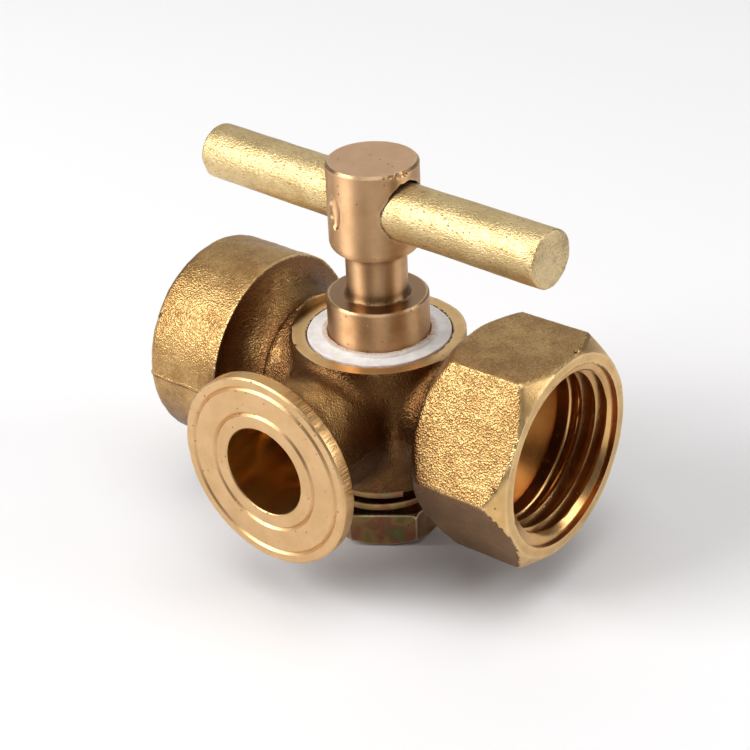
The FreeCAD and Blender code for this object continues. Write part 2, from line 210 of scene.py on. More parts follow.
class Tree:
    """A node tree that is being written."""

    def __init__(self, tree: bpy.types.NodeTree) -> None:
        """Start on a tree, emptied of its nodes."""
        self.tree = tree
        tree.nodes.clear()

    def node(self, kind: str, settings: dict, sockets: dict) -> bpy.types.Node:
        """Add any node, with its settings first and its sockets after.

        Args:
            kind: The node's type.
            settings: Attributes of the node; "stops" holds the stops of a colour ramp.
            sockets: Values or links, by the input's name or place.

        Returns:
            The node.
        """
        made = self.tree.nodes.new(kind)
        for name, value in settings.items():
            if name == "stops":
                self._set_stops(made, value)
            else:
                setattr(made, name, value)
        for name, value in sockets.items():
            target = self._input(made, name)
            if isinstance(value, Value):
                self.tree.links.new(value.socket, target)
            else:
                target.default_value = value
        return made

    @staticmethod
    def _input(made: bpy.types.Node, name: Union[str, int]) -> bpy.types.NodeSocket:
        """Return a node's enabled input by name, or its input by place."""
        if isinstance(name, int):
            return made.inputs[name]
        return next(s for s in made.inputs if s.name == name and s.enabled)

    @staticmethod
    def _set_stops(made: bpy.types.Node, stops: Sequence[tuple[float, tuple]]) -> None:
        """Write a colour ramp's stops."""
        elements = made.color_ramp.elements
        while len(elements) < len(stops):
            elements.new(0.5)
        for element, (place, colour) in zip(elements, stops):
            element.position = place
            element.color = (*colour, 1.0)

    def add(self, kind: str, settings: dict, sockets: dict,
            output: Union[int, str] = 0) -> Value:
        """Add any node and return one of its outputs.

        Args:
            kind: The node's type.
            settings: Attributes of the node.
            sockets: Values or links of its inputs.
            output: Name or place of the output wanted.

        Returns:
            The output, ready for arithmetic.
        """
        made = self.node(kind, settings, sockets)
        if isinstance(output, int):
            return Value(self, made.outputs[output])
        return Value(self, next(s for s in made.outputs if s.name == output and s.enabled))

    def spread(self, side: object) -> object:
        """Return a number as three equal parts, and anything else as it is."""
        if isinstance(side, (int, float)):
            return (side, side, side)
        return side

    def vector(self, x: object, y: object, z: object) -> Value:
        """Return a vector made of three numbers."""
        return self.add("ShaderNodeCombineXYZ", {}, {0: x, 1: y, 2: z})

    def mix(self, share: object, first: object, second: object) -> Value:
        """Return a blend of two colours.

        Args:
            share: 0 for the first colour, 1 for the second.
            first: A colour or a link.
            second: A colour or a link.

        Returns:
            The blended colour.
        """
        made = self.tree.nodes.new("ShaderNodeMix")
        made.data_type = "RGBA"
        made.clamp_factor = True
        for socket, value in ((made.inputs[0], share), (made.inputs[6], first),
                              (made.inputs[7], second)):
            if isinstance(value, Value):
                self.tree.links.new(value.socket, socket)
            else:
                socket.default_value = (*value, 1.0) if isinstance(value, tuple) else value
        return Value(self, made.outputs[2])


# ---------------------------------------------------------------- finishes


@dataclass(frozen=True)
class Finish:
    """What every finish has: a name and a way to start and end its material."""

    name: str

    def start(self) -> tuple[bpy.types.Material, Tree, Value]:
        """Return a new material, its tree and the position on the piece in millimetres."""
        material = bpy.data.materials.new(self.name)
        material.use_nodes = True
        tree = Tree(material.node_tree)
        place = tree.add("ShaderNodeTexCoord", {}, {}, output="Object")
        from_plug = place - (PLUG_AXIS.x, PLUG_AXIS.y, 0.0)
        return material, tree, from_plug * (1.0 / MM)

    def noise(self, tree: Tree, place: Value, per_mm: float, detail: float = 2.0,
              roughness: float = 0.5) -> Value:
        """Return soft noise of a given fineness.

        Args:
            tree: The material's tree.
            place: Position in millimetres.
            per_mm: How many grains lie in a millimetre.
            detail: Octaves of finer noise.
            roughness: How strong the finer octaves are.

        Returns:
            The noise, about 0 to 1.
        """
        return tree.add("ShaderNodeTexNoise", {"noise_dimensions": "3D"},
                        {"Vector": place, "Scale": per_mm, "Detail": detail,
                         "Roughness": roughness})

    def pits(self, tree: Tree, place: Value, per_mm: float, share: float,
             size: float = 0.32) -> Value:
        """Return scattered round pits: 1 in a pit and 0 outside.

        Args:
            tree: The material's tree.
            place: Position in millimetres.
            per_mm: How many cells lie in a millimetre.
            share: The part of the cells that hold a pit.
            size: Radius of a pit in cells.

        Returns:
            The pits.
        """
        cell = tree.node("ShaderNodeTexVoronoi", {"feature": "F1"},
                         {"Vector": place, "Scale": per_mm, "Randomness": 1.0})
        distance = Value(tree, cell.outputs["Distance"])
        chance = Value(tree, cell.outputs["Color"]).part(0)
        return (1.0 - distance.ramp(size * 0.45, size)) * chance.math("LESS_THAN", share)

    def bump(self, tree: Tree, height: Value, depth_mm: float) -> Value:
        """Return a normal bent by a height pattern.

        Args:
            tree: The material's tree.
            height: The pattern.
            depth_mm: Height of one unit of the pattern.

        Returns:
            The bent normal.
        """
        return tree.add("ShaderNodeBump", {}, {"Strength": 1.0, "Distance": depth_mm * MM,
                                               "Height": height})

    def crest(self, tree: Tree) -> Value:
        """Return where the surface's edges are, from 0 to 1."""
        bulge = tree.add("ShaderNodeAttribute", {"attribute_name": "crest"}, {}, output="Fac")
        return bulge.ramp(0.35, 0.95)

    def shelter(self, tree: Tree) -> Value:
        """Return how far the surface is closed in by what stands round it or faces down, from 0 to
        1; the finishes turn it into painted shade.
        """
        return tree.add("ShaderNodeAttribute", {"attribute_name": "shelter"}, {}, output="Fac")

    def close(self, tree: Tree, material: bpy.types.Material, colour: Value, roughness: Value,
              normal: Value, metallic: float = 1.0, **fixed: float) -> bpy.types.Material:
        """Join the patterns to the shader.

        Args:
            tree: The material's tree.
            material: The material.
            colour: Base colour.
            roughness: Roughness.
            normal: Normal.
            metallic: How metallic the surface is.
            fixed: Values of the shader's other inputs, "_" standing for a space.

        Returns:
            The finished material.
        """
        sockets = {"Base Color": colour, "Roughness": roughness, "Normal": normal,
                   "Metallic": metallic}
        for key, value in fixed.items():
            sockets[key.replace("_", " ")] = value
        shader = tree.add("ShaderNodeBsdfPrincipled", {}, sockets)
        tree.node("ShaderNodeOutputMaterial", {}, {"Surface": shader})
        return material


@dataclass(frozen=True)
class ForgedBrass(Finish):
    """Shot-blasted forged skin: coarse bright grain on gold-brown brass, with painted shade in its
    recesses and on faces looking down, and edges lightened partly by wear and partly by a painted
    highlight.
    """

    name: str = "forged_brass_skin"
    light: tuple = (0.60, 0.37, 0.145)
    dark: tuple = (0.40, 0.225, 0.078)
    # Bright tone for the raised grain and for the edges, where it is partly wear and partly a
    # painted highlight
    bright_grain_and_edge_highlight: tuple = (0.86, 0.62, 0.29)
    # deep: darkest brown, used for the dark grain flecks and as the colour of the painted shade
    deep: tuple = (0.15, 0.065, 0.022)
    grain_per_mm: float = 4.6
    grain_depth_mm: float = 0.085
    # The next two set the painted shade: how strongly and from what shelter value the colour
    # darkens towards its darkest tone
    painted_shade: float = 0.92
    painted_shade_range: tuple = (0.01, 0.34)
    roughness: float = 0.29

    def build(self) -> bpy.types.Material:
        """Return the material."""
        material, tree, mm = self.start()
        coarse = self.noise(tree, mm, self.grain_per_mm * 0.6, 2.0, 0.6)
        fine = self.noise(tree, mm, self.grain_per_mm * 1.5, 1.0)
        shot = tree.add("ShaderNodeTexVoronoi", {"feature": "F1"},
                        {"Vector": mm, "Scale": self.grain_per_mm}, output="Distance")
        cloud = self.noise(tree, mm, 0.22, 3.0, 0.6)
        blotch = self.noise(tree, mm, 0.8, 2.0)
        edge = self.crest(tree)
        stain = (cloud * 0.65 + blotch * 0.35).ramp(0.34, 0.68)
        colour = tree.mix(stain, self.dark, self.light)
        colour = tree.mix(coarse.ramp(0.50, 0.72) * 0.30, colour, self.bright_grain_and_edge_highlight)
        colour = tree.mix((1.0 - coarse.ramp(0.28, 0.46)) * 0.30, colour, self.deep)
        # Edges lightened towards the bright tone: partly wear, partly a painted highlight
        colour = tree.mix(edge * (0.25 + coarse * 0.5), colour, self.bright_grain_and_edge_highlight)
        # Painted shade: darker where the shelter attribute says the surface is shut in by walls or
        # faces down
        shaded = self.shelter(tree).ramp(*self.painted_shade_range) * self.painted_shade
        colour = tree.mix(shaded, colour, self.deep)
        rough = self.roughness + cloud * 0.08 + (1.0 - coarse) * 0.08 - edge * 0.08
        nicks = self.pits(tree, mm, per_mm=0.55, share=0.10, size=0.2)
        height = coarse * 0.45 + fine * 0.35 + shot * 0.8 - nicks * 0.7
        normal = self.bump(tree, height, self.grain_depth_mm)
        return self.close(tree, material, colour, rough, normal)


@dataclass(frozen=True)
class TurnedMetal(Finish):
    """A turned surface: fine rings round an axis, small pits, edges lightened partly by wear and
    partly by a painted highlight, and painted shade in recesses and on faces looking down.
    """

    name: str = "turned_brass"
    axis: Axis = Axis.X
    light: tuple = (0.78, 0.51, 0.25)
    dark: tuple = (0.64, 0.39, 0.17)
    rings_per_mm: float = 7.0
    ring_depth_mm: float = 0.004
    grain_depth_mm: float = 0.004
    pit_share: float = 0.16
    roughness: float = 0.24
    anisotropy: float = 0.0
    across_rings: float = 0.25
    # The next three set the painted shade: how strongly, and from what shelter value, the colour
    # darkens towards its darkest tone
    painted_shade: float = 0.6
    painted_shade_from: float = 0.35
    deep: tuple = (0.10, 0.045, 0.015)
    pit_colour: tuple = (0.22, 0.12, 0.05)
    # Colour of the edges: partly wear, partly a painted highlight
    edge_wear_and_highlight: tuple = (0.94, 0.76, 0.48)

    def around(self, mm: Value) -> tuple[Value, Value]:
        """Return the distance along the axis and the distance from it.

        Args:
            mm: Position on the piece in millimetres.

        Returns:
            The two distances in millimetres.
        """
        index = self.axis.value
        one, two = (mm.part(other) for other in range(3) if other != index)
        return mm.part(index), (one * one + two * two).math("SQRT")

    def build(self) -> bpy.types.Material:
        """Return the material."""
        material, tree, mm = self.start()
        along, away = self.around(mm)
        rings = tree.add("ShaderNodeTexNoise", {"noise_dimensions": "2D"},
                         {"Vector": tree.vector(along, away, 0.0), "Scale": self.rings_per_mm,
                          "Detail": 2.0, "Roughness": 0.7})
        bands = tree.add("ShaderNodeTexNoise", {"noise_dimensions": "2D"},
                         {"Vector": tree.vector(along, away, 3.0), "Scale": 1.1, "Detail": 1.0})
        grain = self.noise(tree, mm, 5.0, 2.0, 0.6)
        cloud = self.noise(tree, mm, 0.35, 3.0, 0.6)
        pits = self.pits(tree, mm, 1.25, self.pit_share, 0.20)
        colour = tree.mix(cloud.ramp(0.3, 0.7) * 0.6 + rings * 0.3, self.dark, self.light)
        colour = tree.mix(grain.ramp(0.58, 0.75) * 0.25, colour, self.light)
        colour = tree.mix(pits * 0.7, colour, self.pit_colour)
        # Edges lightened: partly wear, partly a painted highlight
        colour = tree.mix(self.crest(tree) * 0.22, colour, self.edge_wear_and_highlight)
        # Painted shade: darker where the shelter attribute says the surface is shut in by walls or
        # faces down
        shaded = self.shelter(tree).ramp(self.painted_shade_from, self.painted_shade_from + 0.5)
        colour = tree.mix(shaded * self.painted_shade, colour, self.deep)
        rough = self.roughness + bands * 0.08 + cloud * 0.08 + pits * 0.2
        height = grain * (self.grain_depth_mm / self.ring_depth_mm) + rings - pits * 4.0
        normal = self.bump(tree, height, self.ring_depth_mm)
        return self.close(tree, material, colour, rough, normal, Anisotropic=self.anisotropy,
                          Anisotropic_Rotation=self.across_rings)


@dataclass(frozen=True)
class DrawnBar(Finish):
    """Drawn yellow brass bar with a close pitted grain drawn out along its length."""

    name: str = "drawn_bar_brass"
    light: tuple = (0.76, 0.58, 0.30)
    dark: tuple = (0.58, 0.42, 0.19)
    stain: tuple = (0.30, 0.12, 0.06)
    stain_at_mm: tuple = (7.9, -0.9, 27.6)
    speck_colour: tuple = (0.30, 0.19, 0.08)
    hole_colour: tuple = (0.06, 0.03, 0.02)
    grain_depth_mm: float = 0.055
    roughness: float = 0.34

    def build(self) -> bpy.types.Material:
        """Return the material."""
        material, tree, mm = self.start()
        lengthwise = tree.add("ShaderNodeMapping", {"vector_type": "POINT"},
                              {"Vector": mm, "Rotation": (0.0, 0.0, -HANDLE_YAW),
                               "Scale": (0.42, 1.0, 1.0)})
        grain = self.noise(tree, lengthwise, 4.2, 2.0, 0.7)
        fine = self.noise(tree, lengthwise, 9.0, 1.0)
        cloud = self.noise(tree, mm, 0.3, 3.0, 0.6)
        specks = self.pits(tree, lengthwise + fine * 0.12, 3.2, 0.42, 0.32)
        holes = self.pits(tree, mm, 0.28, 0.22, 0.10)
        colour = tree.mix((cloud * 0.5 + grain * 0.5).ramp(0.35, 0.62), self.dark, self.light)
        colour = tree.mix(specks * 0.75, colour, self.speck_colour)
        colour = tree.mix(holes, colour, self.hole_colour)
        apart = (mm - self.stain_at_mm) * (0.55, 1.0, 1.0)
        spread = tree.add("ShaderNodeVectorMath", {"operation": "LENGTH"}, {0: apart},
                          output="Value")
        patch = (1.0 - (spread + grain * 0.9).ramp(0.55, 1.25)) * grain.ramp(0.40, 0.58)
        colour = tree.mix(patch * 0.85, colour, self.stain)
        rough = self.roughness + (1.0 - grain) * 0.12 + cloud * 0.06
        height = grain * 1.3 + fine * 1.0 - specks * 0.6 - holes * 2.0
        normal = self.bump(tree, height, self.grain_depth_mm)
        return self.close(tree, material, colour, rough, normal)


@dataclass(frozen=True)
class WhitePacking(Finish):
    """Waxy white sealing ring, smeared with brown grease near the plug."""

    name: str = "white_packing"
    white: tuple = (0.86, 0.84, 0.83)
    grey: tuple = (0.74, 0.70, 0.69)
    dirt: tuple = (0.50, 0.36, 0.24)
    inner_r_mm: float = 6.0
    waviness_mm: float = 0.05

    def build(self) -> bpy.types.Material:
        """Return the material."""
        material, tree, mm = self.start()
        away = (mm.part(0) * mm.part(0) + mm.part(1) * mm.part(1)).math("SQRT")
        cloud = self.noise(tree, mm, 0.9, 3.0, 0.6)
        fine = self.noise(tree, mm, 5.0, 2.0, 0.6)
        near = 1.0 - away.ramp(self.inner_r_mm + 0.25, self.inner_r_mm + 1.15)
        specks = self.pits(tree, mm, 1.5, 0.22, 0.24)
        colour = tree.mix(cloud.ramp(0.3, 0.75), self.white, self.grey)
        colour = tree.mix(near * (fine.ramp(0.34, 0.60) * 0.6 + 0.3), colour, self.dirt)
        colour = tree.mix(specks * 0.30, colour, self.dirt)
        rough = 0.30 + fine * 0.18
        normal = self.bump(tree, cloud * 0.8 + fine * 0.25, self.waviness_mm)
        return self.close(tree, material, colour, rough, normal, metallic=0.0,
                          Subsurface_Weight=0.25, Subsurface_Scale=0.001)


@dataclass(frozen=True)
class YellowZinc(Finish):
    """Yellow-passivated zinc plate with an iridescent red, green and olive cast."""

    name: str = "yellow_zinc_plate"
    film_stops: tuple = ((0.30, (0.24, 0.17, 0.06)), (0.45, (0.37, 0.25, 0.10)),
                         (0.55, (0.34, 0.14, 0.08)), (0.66, (0.21, 0.22, 0.09)),
                         (0.80, (0.40, 0.30, 0.14)))
    pit_colour: tuple = (0.10, 0.09, 0.05)
    edge_wear_and_highlight: tuple = (0.80, 0.74, 0.50)
    grain_depth_mm: float = 0.008
    roughness: float = 0.28

    def build(self) -> bpy.types.Material:
        """Return the material."""
        material, tree, mm = self.start()
        film = self.noise(tree, mm, 0.30, 2.0, 0.55)
        grain = self.noise(tree, mm, 4.5, 2.0, 0.6)
        tint = tree.add("ShaderNodeValToRGB", {"stops": self.film_stops}, {"Fac": film})
        pits = self.pits(tree, mm, 1.1, 0.18, 0.22)
        colour = tree.mix(pits * 0.6, tint, self.pit_colour)
        # Edges lightened: partly wear, partly a painted highlight
        colour = tree.mix(self.crest(tree) * 0.5, colour, self.edge_wear_and_highlight)
        rough = self.roughness + grain * 0.14 + pits * 0.2
        normal = self.bump(tree, grain - pits * 2.0, self.grain_depth_mm)
        return self.close(tree, material, colour, rough, normal)


@dataclass(frozen=True)
class MattePaper(Finish):
    """The pale surface that the valve stands on."""

    name: str = "pale_floor"
    colour: tuple = (0.885, 0.875, 0.88)
    shade: tuple = (0.84, 0.83, 0.84)

    def build(self) -> bpy.types.Material:
        """Return the material."""
        material, tree, mm = self.start()
        cloud = self.noise(tree, mm, 0.02, 2.0)
        colour = tree.mix(cloud * 0.04, self.colour, self.shade)
        normal = self.bump(tree, self.noise(tree, mm, 1.5, 2.0), 0.01)
        return self.close(tree, material, colour, 0.85 + cloud * 0.1, normal, metallic=0.0)


# ---------------------------------------------------------------- distance fields


def smooth_step(value: Array, low: float, high: float) -> Array:
    """Return 0 below low, 1 above high, and a smooth rise between."""
    share = np.clip((value - low) / (high - low), 0.0, 1.0)
    return share * share * (3.0 - 2.0 * share)


def outline_distance(along: Array, away: Array, outline: Outline) -> Array:
    """Return the signed distance to a turned solid's outline.

    Args:
        along: Distance of each point along the axis.
        away: Distance of each point from the axis.
        outline: Corners (along, away), in order round the outline.

    Returns:
        Distance of each point, below 0 inside.
    """
    nearest = np.full(along.shape, 1e9)
    inside = np.zeros(along.shape, dtype=bool)
    for (x0, y0), (x1, y1) in zip(outline, outline[1:] + outline[:1]):
        on_axis = abs(y0) < 1e-9 and abs(y1) < 1e-9
        run_x, run_y = x1 - x0, y1 - y0
        off_x, off_y = along - x0, away - y0
        if not on_axis:
            length = max(run_x * run_x + run_y * run_y, 1e-12)
            share = np.clip((off_x * run_x + off_y * run_y) / length, 0.0, 1.0)
            gap_x, gap_y = off_x - run_x * share, off_y - run_y * share
            np.minimum(nearest, gap_x * gap_x + gap_y * gap_y, out=nearest)
        if run_y != 0.0:
            crosses = (y0 > away) != (y1 > away)
            inside ^= crosses & (off_x < off_y * (run_x / run_y))
    return np.where(inside, -1.0, 1.0) * np.sqrt(nearest)


def arc(middle_point: Point, radius: float, start: float, end: float, steps: int = 8) -> Outline:
    """Return points along an arc.

    Args:
        middle_point: Centre of the arc.
        radius: Its radius.
        start: Angle of the first point, in degrees.
        end: Angle of the last point, in degrees.
        steps: Number of chords.

    Returns:
        The points, both ends among them.
    """
    points = []
    for step in range(steps + 1):
        angle = math.radians(start + (end - start) * step / steps)
        points.append((middle_point[0] + radius * math.cos(angle),
                       middle_point[1] + radius * math.sin(angle)))
    return points


def join(first: Array, second: Array, blend: float) -> Array:
    """Return the union of two solids, filleted where they meet."""
    near = np.maximum(blend - np.abs(first - second), 0.0) / blend
    return np.minimum(first, second) - near * near * blend * 0.25


def carve(solid: Array, cutter: Array) -> Array:
    """Return a solid with a cutter taken out of it, with sharp edges."""
    return np.maximum(solid, -cutter)


def overlap(first: Array, second: Array, blend: float) -> Array:
    """Return what two solids share, with the edge between them eased."""
    return -join(-first, -second, blend)


class Ripple:
    """Soft seeded unevenness: a sum of plane waves in many directions."""

    def __init__(self, seed: int, wavelength: float, waves: int = 14) -> None:
        """Draw the waves' directions, lengths and phases."""
        random = np.random.default_rng(seed)
        direction = random.normal(size=(waves, 3))
        direction /= np.linalg.norm(direction, axis=1)[:, None]
        length = wavelength * random.uniform(0.7, 1.6, size=waves)
        self.waves = direction * (TAU / length)[:, None]
        self.phase = random.uniform(0.0, TAU, size=waves)

    def at(self, points: Array) -> Array:
        """Return the unevenness at points, about -1 to 1."""
        total = np.zeros(len(points))
        for wave, phase in zip(self.waves, self.phase):
            total += np.sin(points @ wave + phase)
        return total * math.sqrt(2.0 / len(self.phase)) * 0.6


@dataclass
class Sculpture:
    """A mesh taken from a distance field, with machined edges kept sharp.

    A vertex is placed in each cell that the surface crosses, where the surface's tangent
    planes there meet best, so flat faces stay flat and corners stay corners.
    """

    distance: Callable[[Array], Array]
    low: tuple[float, float, float]
    high: tuple[float, float, float]
    cell: float
    close_levels: tuple[tuple[float, float, float], ...] = ()
    crest_reach: float = 0.45
    shelter_reaches: tuple[float, ...] = (1.2, 2.5, 5.0, 8.0)
    # Extra shelter for faces that look down, which the finishes turn into painted shade
    painted_underside_shade: float = 0.0
    probe: float = 0.02
    flatness: float = 0.08

    def levels(self, index: int) -> Array:
        """Return the grid's positions along one axis, closer together where asked."""
        count = int(math.ceil((self.high[index] - self.low[index]) / self.cell)) + 1
        places = self.low[index] + self.cell * np.arange(count)
        if index == 2:
            for start, end, step in self.close_levels:
                outside = places[(places < start - step * 0.5) | (places > end + step * 0.5)]
                closer = np.arange(start, end + step * 0.5, step)
                places = np.sort(np.concatenate([outside, closer]))
        return places

    def sample(self, axes: list[Array]) -> Array:
        """Return the field on the grid, worked out in full only near the surface."""
        coarse = [np.append(a[::4], a[-1]) if (len(a) - 1) % 4 else a[::4] for a in axes]
        grid = np.stack(np.meshgrid(*coarse, indexing="ij"), axis=-1)
        rough = self.distance(grid.reshape(-1, 3)).reshape(grid.shape[:3])
        nearest = [np.minimum((np.arange(len(a)) + 2) // 4, len(c) - 1)
                   for a, c in zip(axes, coarse)]
        field_values = rough[np.ix_(*nearest)]
        close = np.abs(field_values) < self.cell * 4.6
        where = np.argwhere(close)
        points = np.stack([axes[i][where[:, i]] for i in range(3)], axis=-1)
        field_values[close] = self.distance(points)
        return field_values

    def slope(self, points: Array) -> Array:
        """Return the field's unit gradient at points."""
        parts = []
        for index in range(3):
            step = np.zeros(3)
            step[index] = self.probe
            parts.append(self.distance(points + step) - self.distance(points - step))
        gradient = np.stack(parts, axis=-1)
        return gradient / np.maximum(np.linalg.norm(gradient, axis=1), 1e-9)[:, None]

    def crossings(self, axes: list[Array], values: Array) -> list[tuple[Array, Array, Array]]:
        """Return, for each axis, the grid edges that the surface crosses.

        Args:
            axes: Grid positions.
            values: Field on the grid.

        Returns:
            For each axis: the edges' first corners, whether they start inside, and the
            points where they cross the surface.
        """
        found = []
        inside = values < 0.0
        for index in range(3):
            near = [slice(None)] * 3
            far = [slice(None)] * 3
            near[index], far[index] = slice(0, -1), slice(1, None)
            changes = inside[tuple(near)] != inside[tuple(far)]
            corner = np.argwhere(changes)
            other = corner.copy()
            other[:, index] += 1
            start, end = values[tuple(corner.T)], values[tuple(other.T)]
            low = np.stack([axes[i][corner[:, i]] for i in range(3)], axis=-1)
            high = np.stack([axes[i][other[:, i]] for i in range(3)], axis=-1)
            share = (start / (start - end))[:, None]
            for _ in range(2):
                point = low + (high - low) * share
                here = self.distance(point)
                same = (here < 0.0) == (start < 0.0)
                low = np.where(same[:, None], point, low)
                high = np.where(same[:, None], high, point)
                start = np.where(same, here, start)
                end = np.where(same, end, here)
                span = np.where(start == end, 1.0, start - end)
                share = np.clip(start / span, 0.0, 1.0)[:, None]
            found.append((corner, inside[tuple(corner.T)], low + (high - low) * share))
        return found

    def mesh_arrays(self) -> tuple[Array, Array]:
        """Return the vertices and the four-sided faces of the surface."""
        axes = [self.levels(index) for index in range(3)]
        values = self.sample(axes)
        cells = tuple(len(a) - 1 for a in axes)
        edges = self.crossings(axes, values)
        count = np.zeros(int(np.prod(cells)))
        sums = np.zeros((3, count.size))
        square = np.zeros((6, count.size))
        target = np.zeros((3, count.size))
        quads = []
        for index, (corner, starts_inside, point) in enumerate(edges):
            normal = self.slope(point)
            reach = (normal * point).sum(axis=1)
            one, two = (index + 1) % 3, (index + 2) % 3
            around = []
            for step_one, step_two in ((-1, -1), (0, -1), (0, 0), (-1, 0)):
                cell = corner.copy()
                cell[:, one] += step_one
                cell[:, two] += step_two
                around.append(np.ravel_multi_index(tuple(cell.T), cells, mode="clip"))
            for cell in around:
                count += np.bincount(cell, minlength=count.size)
                for i in range(3):
                    sums[i] += np.bincount(cell, point[:, i], count.size)
                    target[i] += np.bincount(cell, normal[:, i] * reach, count.size)
                for slot, (i, j) in enumerate(((0, 0), (0, 1), (0, 2), (1, 1), (1, 2), (2, 2))):
                    square[slot] += np.bincount(cell, normal[:, i] * normal[:, j], count.size)
            ring = np.stack(around, axis=-1)
            quads.append(np.where(starts_inside[:, None], ring, ring[:, ::-1]))
        active = np.flatnonzero(count)
        mean = (sums[:, active] / count[active]).T
        matrix = square[:, active][[0, 1, 2, 1, 3, 4, 2, 4, 5]].T.reshape(-1, 3, 3)
        rest = target[:, active].T - np.einsum("nij,nj->ni", matrix, mean)
        size, way = np.linalg.eigh(matrix)
        keep = size > self.flatness * size[:, 2:3]
        inverse = np.where(keep, 1.0 / np.where(keep, size, 1.0), 0.0)
        shift = np.einsum("nij,nj->ni", way, inverse * np.einsum("nji,nj->ni", way, rest))
        place = np.stack(np.unravel_index(active, cells), axis=-1)
        low = np.stack([axes[i][place[:, i]] for i in range(3)], axis=-1)
        high = np.stack([axes[i][place[:, i] + 1] for i in range(3)], axis=-1)
        vertices = np.clip(mean + shift, low, high)
        number = np.full(count.size, -1)
        number[active] = np.arange(len(active))
        return vertices, number[np.concatenate(quads)]

    def curvature(self, points: Array) -> Array:
        """Return how far the surface bulges at points: above 0 on crests, below in hollows."""
        total = -6.0 * self.distance(points)
        for index in range(3):
            step = np.zeros(3)
            step[index] = self.crest_reach
            total += self.distance(points + step) + self.distance(points - step)
        return total / self.crest_reach

    def shelter(self, points: Array) -> Array:
        """Return how far the surface at points is shut in by the walls round it or faces down, 0 to
        1; the finishes turn it into painted shade.
        """
        outward = self.slope(points)
        total = np.zeros(len(points))
        for reach in self.shelter_reaches:
            total += 1.0 - self.distance(points + outward * reach) / reach
        shut_in = total / len(self.shelter_reaches) * 1.9
        return np.clip(shut_in - self.painted_underside_shade * np.minimum(outward[:, 2], 0.0), 0.0, 1.0)

    def build(self, name: str) -> bpy.types.Object:
        """Return the surface as an object, with its crests and shelter stored as attributes.

        Args:
            name: Name of the piece.

        Returns:
            The object, linked to the scene.
        """
        vertices, faces = self.mesh_arrays()
        piece = new_piece(name, vertices, faces)
        for label, amount in (("crest", np.clip(self.curvature(vertices), 0.0, 2.0)),
                              ("shelter", self.shelter(vertices))):
            attribute = piece.data.attributes.new(label, "FLOAT", "POINT")
            attribute.data.foreach_set("value", amount.astype(np.float32))
        return piece


# ---------------------------------------------------------------- meshes


def new_piece(name: str, vertices: Array, faces: Iterable[Sequence[int]]) -> bpy.types.Object:
    """Make an object from vertices in millimetres about the plug's axis.

    Args:
        name: Name of the piece.
        vertices: One row for each vertex.
        faces: Vertex numbers of each face.

    Returns:
        The object, linked to the scene, at the origin.
    """
    mesh = bpy.data.meshes.new(name)
    placed = np.asarray(vertices) * MM + np.array(PLUG_AXIS)
    mesh.from_pydata(placed.tolist(), [], [list(map(int, face)) for face in faces])
    mesh.update()
    piece = bpy.data.objects.new(name, mesh)
    bpy.context.scene.collection.objects.link(piece)
    return piece


def tidy(piece: bpy.types.Object, merge_mm: float = 0.0005) -> None:
    """Merge doubled vertices, drop slivers and turn every face outwards."""
    work = bmesh.new()
    work.from_mesh(piece.data)
    bmesh.ops.remove_doubles(work, verts=work.verts, dist=merge_mm * MM)
    bmesh.ops.dissolve_degenerate(work, edges=work.edges, dist=merge_mm * MM * 0.1)
    bmesh.ops.recalc_face_normals(work, faces=work.faces)
    work.to_mesh(piece.data)
    work.free()


def shade(piece: bpy.types.Object, sharp_over: float = 32.0) -> None:
    """Shade smoothly, with edges sharper than an angle in degrees left sharp."""
    mesh = piece.data
    mesh.polygons.foreach_set("use_smooth", [True] * len(mesh.polygons))
    mesh.set_sharp_from_angle(angle=math.radians(sharp_over))


def dress(piece: bpy.types.Object, body: Body, slot: Slot, *materials: bpy.types.Material,
          stands_for: Sequence[str] = ()) -> None:
    """Give a piece its materials, its body and the CAD nodes that it stands for.

    Args:
        piece: The piece.
        body: The rigid body it rides on.
        slot: The record's slot that its finish comes from; not used.
        materials: Its materials, in the order of their face indices.
        stands_for: Names of the CAD nodes that it replaces.
    """
    if materials:
        # Clearing the materials sets every face's index to 0, so the indices are put back.
        kept = np.empty(len(piece.data.polygons), dtype=int)
        piece.data.polygons.foreach_get("material_index", kept)
        piece.data.materials.clear()
        for material in materials:
            piece.data.materials.append(material)
        piece.data.polygons.foreach_set("material_index", kept)
    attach(piece, body.value)
    if stands_for:
        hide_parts(*stands_for)
    LOG.info("%s: %d vertices, %d faces, rides on %s", piece.name, len(piece.data.vertices),
             len(piece.data.polygons), body.value)


@dataclass
class Lathe:
    """A turned piece: an outline carried round an axis."""

    outline: Outline
    axis: Axis
    steps: int = 128
    wobble: Optional[Callable[[Array], Array]] = None

    def build(self, name: str) -> bpy.types.Object:
        """Return the turned piece.

        Args:
            name: Name of the piece.

        Returns:
            The object, its faces turned outwards.
        """
        points = np.array(self.outline)
        count = len(points)
        angles = np.arange(self.steps) * TAU / self.steps
        along = np.repeat(points[:, 0], self.steps)
        away = np.repeat(points[:, 1], self.steps)
        turn = np.tile(angles, count)
        parts = {Axis.X: (along, away * np.cos(turn), away * np.sin(turn)),
                 Axis.Y: (away * np.cos(turn), along, away * np.sin(turn)),
                 Axis.Z: (away * np.cos(turn), away * np.sin(turn), along)}[self.axis]
        vertices = np.stack(parts, axis=-1)
        if self.wobble is not None:
            vertices = self.wobble(vertices)
        faces = []
        for ring in range(count):
            after = (ring + 1) % count
            if points[ring, 1] < 1e-6 and points[after, 1] < 1e-6:
                continue
            for step in range(self.steps):
                beside = (step + 1) % self.steps
                faces.append((ring * self.steps + step, ring * self.steps + beside,
                              after * self.steps + beside, after * self.steps + step))
        piece = new_piece(name, vertices, faces)
        tidy(piece)
        shade(piece)
        return piece


